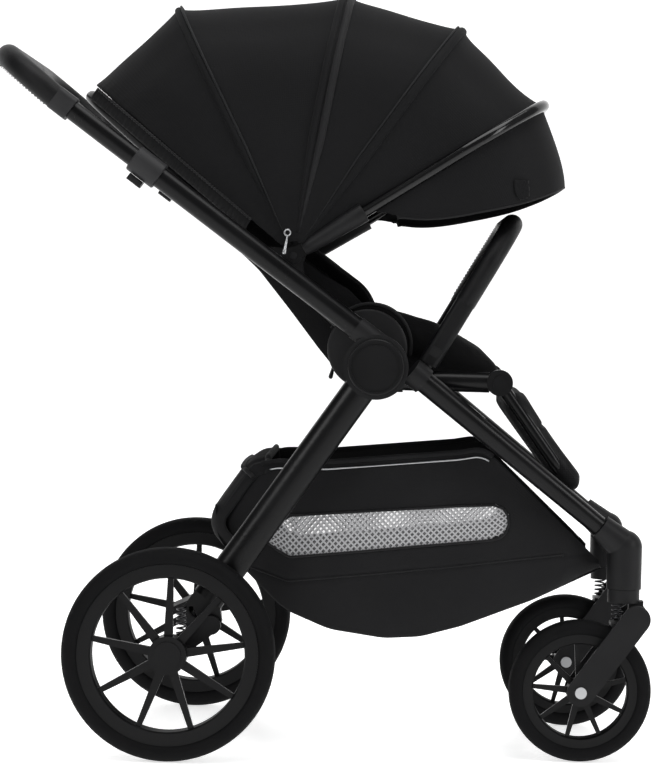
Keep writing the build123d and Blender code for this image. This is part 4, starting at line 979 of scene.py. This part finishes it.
for side, sign in sides.items():
    points = sideSheet(sign)
    cloth = gridPiece("basketSide" + side.capitalize(), points)
    centres = (points[:-1, :-1] + points[1:, 1:]) / 2
    window = inWindow(centres).reshape(-1)
    work = bmesh.new()
    work.from_mesh(cloth.data)
    work.faces.ensure_lookup_table()
    bmesh.ops.delete(work, geom=[f for f, cut in zip(work.faces[:], window) if cut], context="FACES")
    work.to_mesh(cloth.data)
    work.free()
    finishPiece(cloth, finishes["basket_fabric"], "front_frame", thickness=basket["wall"])

    # the net takes its distance from the middle from the nearest point of the side
    grid, outer = points[..., [0, 2]].reshape(-1, 2), points[..., 1].reshape(-1)
    x = np.linspace(-0.080, 0.2585, 120)[:, None]
    share = np.linspace(-0.06, 1.06, 16)[None]
    z = np.interp(x, *meshTop) * (1 - share) + np.interp(x, *meshLow) * share
    y = outer[nearestIndex(np.stack([x + 0 * z, z], -1).reshape(-1, 2), grid)].reshape(z.shape)
    net = gridPiece("basketNet" + side.capitalize(), np.stack([x + 0 * z, y - sign * 0.0012, z], -1))
    net.data.materials.append(basketMesh)
    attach(net, "front_frame")

    # binding round the net, as one closed bead
    xs = np.linspace(-0.044, 0.236, 60)
    topEdge = np.stack([xs, np.interp(xs, *meshTop)], 1)
    lowEdge = np.stack([xs, np.interp(xs, *meshLow)], 1)[::-1]
    bow = np.array([(0.249, 0.348), (0.2565, 0.338), (0.2580, 0.326), (0.2540, 0.314), (0.247, 0.307)])
    tail = np.array([(-0.060, 0.281), (-0.0765, 0.2925), (-0.068, 0.309), (-0.056, 0.322)])
    loop = np.vstack([topEdge, bow, lowEdge, tail])
    loop = np.vstack([loop, loop[:1]])
    reach = runLength(loop)
    even = np.linspace(0, reach[-1], 300, endpoint=False)
    loop = np.stack([np.interp(even, reach, loop[:, k]) for k in (0, 1)], 1)
    path = np.stack([loop[:, 0], outer[nearestIndex(loop, grid)] + sign * 0.0008, loop[:, 1]], 1)
    bead = tubeAlong("netBinding" + side.capitalize(), path, 0.0017, (0, 1, 0), 8, closed=True)
    finishPiece(bead, pipingCloth, "front_frame")

    rail = points[4:112, 0] + np.array([0, sign * 0.0012, 0.0])
    bar = tubeAlong("basketRim" + side.capitalize(), rail, 0.0034, (0, 1, 0), 12)
    finishPiece(bar, finishes["basket_fabric"], "front_frame")
    trimLine = points[8:110, 0] + np.array([0, sign * 0.0045, -0.0100])
    trim = tubeAlong("basketTrim" + side.capitalize(), trimLine, 0.0011, (0, 1, 0), 8)
    finishPiece(trim, finishes["steel"], "front_frame")
    seamX = np.linspace(-0.110, 0.335, 140)
    seamZ = np.interp(seamX, *seamLow)
    seamY = outer[nearestIndex(np.stack([seamX, seamZ], 1), grid)] + sign * 0.0008
    path = np.stack([seamX, seamY, seamZ], 1)
    seam = tubeAlong("basketSeam" + side.capitalize(), path, 0.0013, (0, 1, 0), 8)
    finishPiece(seam, pipingCloth, "front_frame")

# floor and back as one sling from the rear pouch's lip, under the load, up to the front
sling = np.vstack([[(-0.150, 0.340)], floorCurve])
sling = roundedPath(list(sling[::6]) + [sling[-1]], 0.03, 200)
across = np.linspace(-1, 1, 61)
bottomHalf = basket["halfWidth"] - 0.0265
sag = basket["belly"] * (1 - across[None, :] ** 2) * np.sin(np.linspace(0, math.pi, 200))[:, None] * 0.35
tangent = unit(np.gradient(sling, axis=0))
away = np.stack([tangent[:, 1], -tangent[:, 0]], 1)
points = np.stack([sling[:, None, 0] + away[:, None, 0] * sag, across[None] * bottomHalf + 0 * sag,
                   sling[:, None, 1] + away[:, None, 1] * sag], -1)
floorSling = gridPiece("basketFloor", points)
finishPiece(floorSling, finishes["basket_fabric"], "front_frame", thickness=basket["wall"])
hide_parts("basket")

# gathered pouch at the back: an arc of cloth from the floor up over an elastic lip
pouch = roundedPath(basket["back"], 0.03, 70)
across = np.linspace(-1, 1, 181)
gather = 0.0016 * np.sin(across * 71 + 2 * np.sin(across * 9))[None] * np.linspace(0, 1, 70)[:, None] ** 3
edgeCurl = 0.020 * np.clip((np.abs(across) - 0.80) / 0.20, 0, 1)[None] ** 2
tangent = unit(np.gradient(pouch, axis=0))
outwards = np.stack([-tangent[:, 1], tangent[:, 0]], 1)
fullness = 0.004 * np.cos(across * math.pi / 2)[None] * np.sin(np.linspace(0, math.pi, 70))[:, None]
offset = gather - edgeCurl + fullness
points = np.stack([pouch[:, None, 0] + outwards[:, None, 0] * offset,
                   across[None] * (basket["halfWidth"] - 0.012) + 0 * offset,
                   pouch[:, None, 1] + outwards[:, None, 1] * offset], -1)
backPouch = gridPiece("basketPouch", points)
finishPiece(backPouch, finishes["basket_fabric"], "front_frame", thickness=-basket["wall"])
lip = tubeAlong("pouchLip", points[-1] + np.array([0.0, 0, 0.001]), 0.0042, (0, 0, 1), 12)
finishPiece(lip, pipingCloth, "front_frame")
band = tubeAlong("pouchBand", points[54] + np.array([-0.002, 0, 0.001]), 0.0032, (0, 0, 1), 12)
finishPiece(band, pipingCloth, "front_frame")
print("stage: basket")


tyres = {"rear": {"depth": 0.019, "blocks": 44}, "front": {"depth": 0.017, "blocks": 34}}


def treadTyre(name, centre, radius, width, depth, blocks):
    # the wall's profile turned round the axle: a superellipse crown, with a shallow centre groove,
    # and shoulder sipes where a steep cosine of the turn cuts in beside the crown
    around = np.linspace(0, 2 * math.pi, blocks * 12, endpoint=False)[:, None]
    t = np.linspace(-1, 1, 41)[None]
    y = np.sign(t) * np.abs(t) ** 0.9 * width / 2
    crown = depth * (1 - np.abs(t) ** 3.2) ** 0.55
    r = radius - depth + crown
    wall = np.exp(-((np.abs(t) - 0.62) / 0.14) ** 2)
    sipe = np.clip(np.cos(around * blocks + np.sign(t) * 1.5) * 3 - 2.2, 0, 1)
    r = (r - 0.0011 * sipe * wall - 0.0008 * np.exp(-(t / 0.06) ** 2)
         - 0.0008 * np.exp(-((np.abs(t) - 0.33) / 0.05) ** 2))
    inner = np.array([(radius - depth - 0.004, 0.30), (radius - depth - 0.004, -0.30)])
    r = np.concatenate([r, np.broadcast_to(inner[None, :, 0], (len(around), 2))], 1)
    y = np.concatenate([np.broadcast_to(y, (len(around), 41)),
                        np.broadcast_to(inner[None, :, 1] * width, (len(around), 2))], 1)
    points = np.stack([centre[0] + r * np.cos(around), centre[1] + y, centre[2] + r * np.sin(around)], -1)
    piece = gridPiece(name, points, closeU=True, closeV=True)
    faceOutwards(piece)
    return piece


for end in ("rear", "front"):
    for side in sides:
        node = f"{end}_tyre_{side}"
        low, high = (np.array(c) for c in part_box(node))
        centre, size = (low + high) / 2, high - low
        tyre = treadTyre(f"{end}Tyre{side.capitalize()}", centre, size[0] / 2, size[1], **tyres[end])
        finishPiece(tyre, finishes["tyre"], f"{end}_wheel_{side}")
        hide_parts(node)
print("stage: tyres")


# the rear line follows the flap and the front line follows the wing of the back pad
rearLine = roundedPath([onBack(*spot) for spot in flap["points"][1:]], 0.10, 50)
wingLine = ((0.30, 0.020), (0.185, 0.026), (0.115, 0.034), (0.075, 0.043), (0.030, 0.040), (0.002, 0.010))
frontLine = roundedPath([onBack(*spot) for spot in wingLine], 0.03, 50)
for side, sign in sides.items():
    v = np.linspace(0, 1, 19)[None, :, None]
    sheet = rearLine[:, None] * (1 - v) + frontLine[:, None] * v
    slack = 0.0015 * np.sin(np.linspace(0, 17, 50))[:, None] * np.sin(math.pi * v[..., 0])
    sheet[..., 1] = sign * (0.1505 + 0.006 * np.sin(math.pi * v[..., 0]) + slack)
    cloth = gridPiece("backSide" + side.capitalize(), sheet)
    finishPiece(cloth, finishes["seat_fabric"], "backrest", thickness=0.0015)

pulls = {"canopyPull": ("backrest", (-0.0560, -0.2198, 0.716), (-0.0600, -0.2210, 0.690), 0.0026, "steel"),
         "flapPull": ("backrest", (0.012, -0.1560, 0.545), (0.006, -0.1585, 0.520), 0.0030, "cap_plastic")}
for name, (body, top, low, radius, finish) in pulls.items():
    # a flat tag that is narrow at the eye and broad at the end, then rounded off
    line = np.linspace(np.array(top), np.array(low), 14)
    swell = radius * (0.45 + 0.55 * np.clip(np.linspace(-0.2, 1.3, 14), 0, 1))
    tag = tubeAlong(name, line, swell * np.array([0.6] + [1] * 12 + [0.55]), (0, 1, 0), 14)
    finishPiece(tag, finishes[finish], body)
    eyeTurn = np.linspace(0, 2 * math.pi, 24, endpoint=False)
    circle = np.stack([np.cos(eyeTurn), 0 * eyeTurn, np.sin(eyeTurn)], 1)
    ring = np.array(top) + 0.0042 * circle + (0, 0, 0.0035)
    eye = tubeAlong(name + "Eye", ring, 0.0011, (0, 1, 0), 10, closed=True)
    finishPiece(eye, finishes["steel"], body)

# a sewn seam under the grip and inside the bumper: short stitches laid end to end along the tube
stitches = {"pitch": 0.0052, "length": 0.0036, "radius": 0.00055}


def seamAlong(name, path, away, body):
    # the path gives even points; each stitch is a thin bead, tilted so that they read as thread
    reach = runLength(path)
    starts = np.arange(0.002, reach[-1] - stitches["length"], stitches["pitch"])
    t = np.linspace(0, 1, 5)
    spots = starts[:, None] + t[None] * stitches["length"]
    centre = np.stack([np.interp(spots, reach, path[:, k]) for k in range(3)], -1)
    lift = away * (stitches["radius"] * np.sin(math.pi * t))[None, :, None]
    ahead = unit(np.gradient(centre, axis=1))
    across = unit(np.cross(ahead, away))
    turn = np.linspace(0, 2 * math.pi, 6, endpoint=False)
    girth = stitches["radius"] * np.sqrt(np.clip(1 - (2 * t - 1) ** 4, 0.05, 1))[None, :, None, None]
    ring = centre[:, :, None] + lift[:, :, None] + girth * (
        np.cos(turn)[None, None, :, None] * across[:, :, None] + np.sin(turn)[None, None, :, None] * away)
    count = len(starts)
    index = np.arange(count * 5 * 6).reshape(count, 5, 6)
    nextRing = np.roll(index, -1, 2)
    quads = np.stack([index[:, :-1], nextRing[:, :-1], nextRing[:, 1:], index[:, 1:]], -1)
    quads = quads.reshape(-1, 4).tolist()
    ends = index[:, 0, ::-1].tolist() + index[:, -1].tolist()
    mesh = bpy.data.meshes.new(name)
    mesh.from_pydata(ring.reshape(-1, 3).tolist(), [], quads + ends)
    mesh.uv_layers.new(name="surface")
    piece = bpy.data.objects.new(name, mesh)
    bpy.context.scene.collection.objects.link(piece)
    faceOutwards(piece)
    finishPiece(piece, finishes["webbing"], body)


bumper = {"base": (0.1395, 0, 0.542), "angle": 60.0, "from": 0.104, "corner": 0.080, "radius": 0.0145}
grip = {"hub": (0.070, 0, 0.540), "angle": 144.0, "offsets": (0.026, 0.031), "top": 0.660, "corner": 0.072,
        "radius": 0.0165}


def hoopPath(low, high, half, corner):
    # up one arm, across and down the other, with round corners
    arms = [low - half, high - half, high + half, low + half]
    return roundedPath(arms, corner, 400)


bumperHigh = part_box("bumper_bar")[1]
lean = math.radians(bumper["angle"])
up = np.array([math.cos(lean), 0, math.sin(lean)])
towardsSeat = np.array([-math.sin(lean), 0, math.cos(lean)])
half = np.array([0, bumperHigh[1] - bumper["radius"], 0])
base = np.array(bumper["base"])
crown = ((nodePoints("bumper_bar") - base) @ up).max() - bumper["radius"]
path = hoopPath(base + up * bumper["from"], base + up * crown, half, bumper["corner"])
seamAlong("bumperStitches", path + towardsSeat * bumper["radius"], towardsSeat, "bumper")

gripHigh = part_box("handle_grip")[1]
lean = math.radians(grip["angle"])
up = np.array([math.cos(lean), 0, math.sin(lean)])
under = np.array([-math.sin(lean), 0, math.cos(lean)])
base = np.array(grip["hub"])
start = ((nodePoints("handle_grip") - base) @ up).min()
half = np.array([0, gripHigh[1] - grip["radius"], 0])
path = hoopPath(base + up * (start + 0.004) - under * grip["offsets"][0],
                base + up * grip["top"] - under * grip["offsets"][1], half, grip["corner"])
seamAlong("gripStitches", path + under * grip["radius"], under, "handlebar")
print("stage: stitches")


springs = {"rear_spring": ("rear_arm", "rear_suspension"), "fork_spring": ("fork", "fork_suspension")}
springKeep, weldWithin = 0.72, 1e-6  # share of length left at full travel, and metres
for kind, (body, joint) in springs.items():
    for side in sides:
        # the coil's own mesh, welded, moves with its arm or fork; its axis and lower end are worked out but
        # not used
        source = frame["nodes"][f"{kind}_{side}"]
        coil = bpy.data.objects.new(kind.replace("_s", "S") + side.capitalize(), source.data.copy())
        bpy.context.scene.collection.objects.link(coil)
        work = bmesh.new()
        work.from_mesh(coil.data)
        bmesh.ops.remove_doubles(work, verts=work.verts, dist=weldWithin)
        work.to_mesh(coil.data)
        work.free()
        coil.data.polygons.foreach_set("use_smooth", [True] * len(coil.data.polygons))
        finishPiece(coil, springWire, f"{body}_{side}")
        points = nodePoints(f"{kind}_{side}")
        middle = points.mean(0)
        axis = np.linalg.svd(points - middle, full_matrices=False)[2][0]
        axis = axis * np.sign(axis[2])
        low = middle + axis * ((points - middle) @ axis).min()
        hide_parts(f"{kind}_{side}")
        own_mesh(coil)
print("stage: springs")
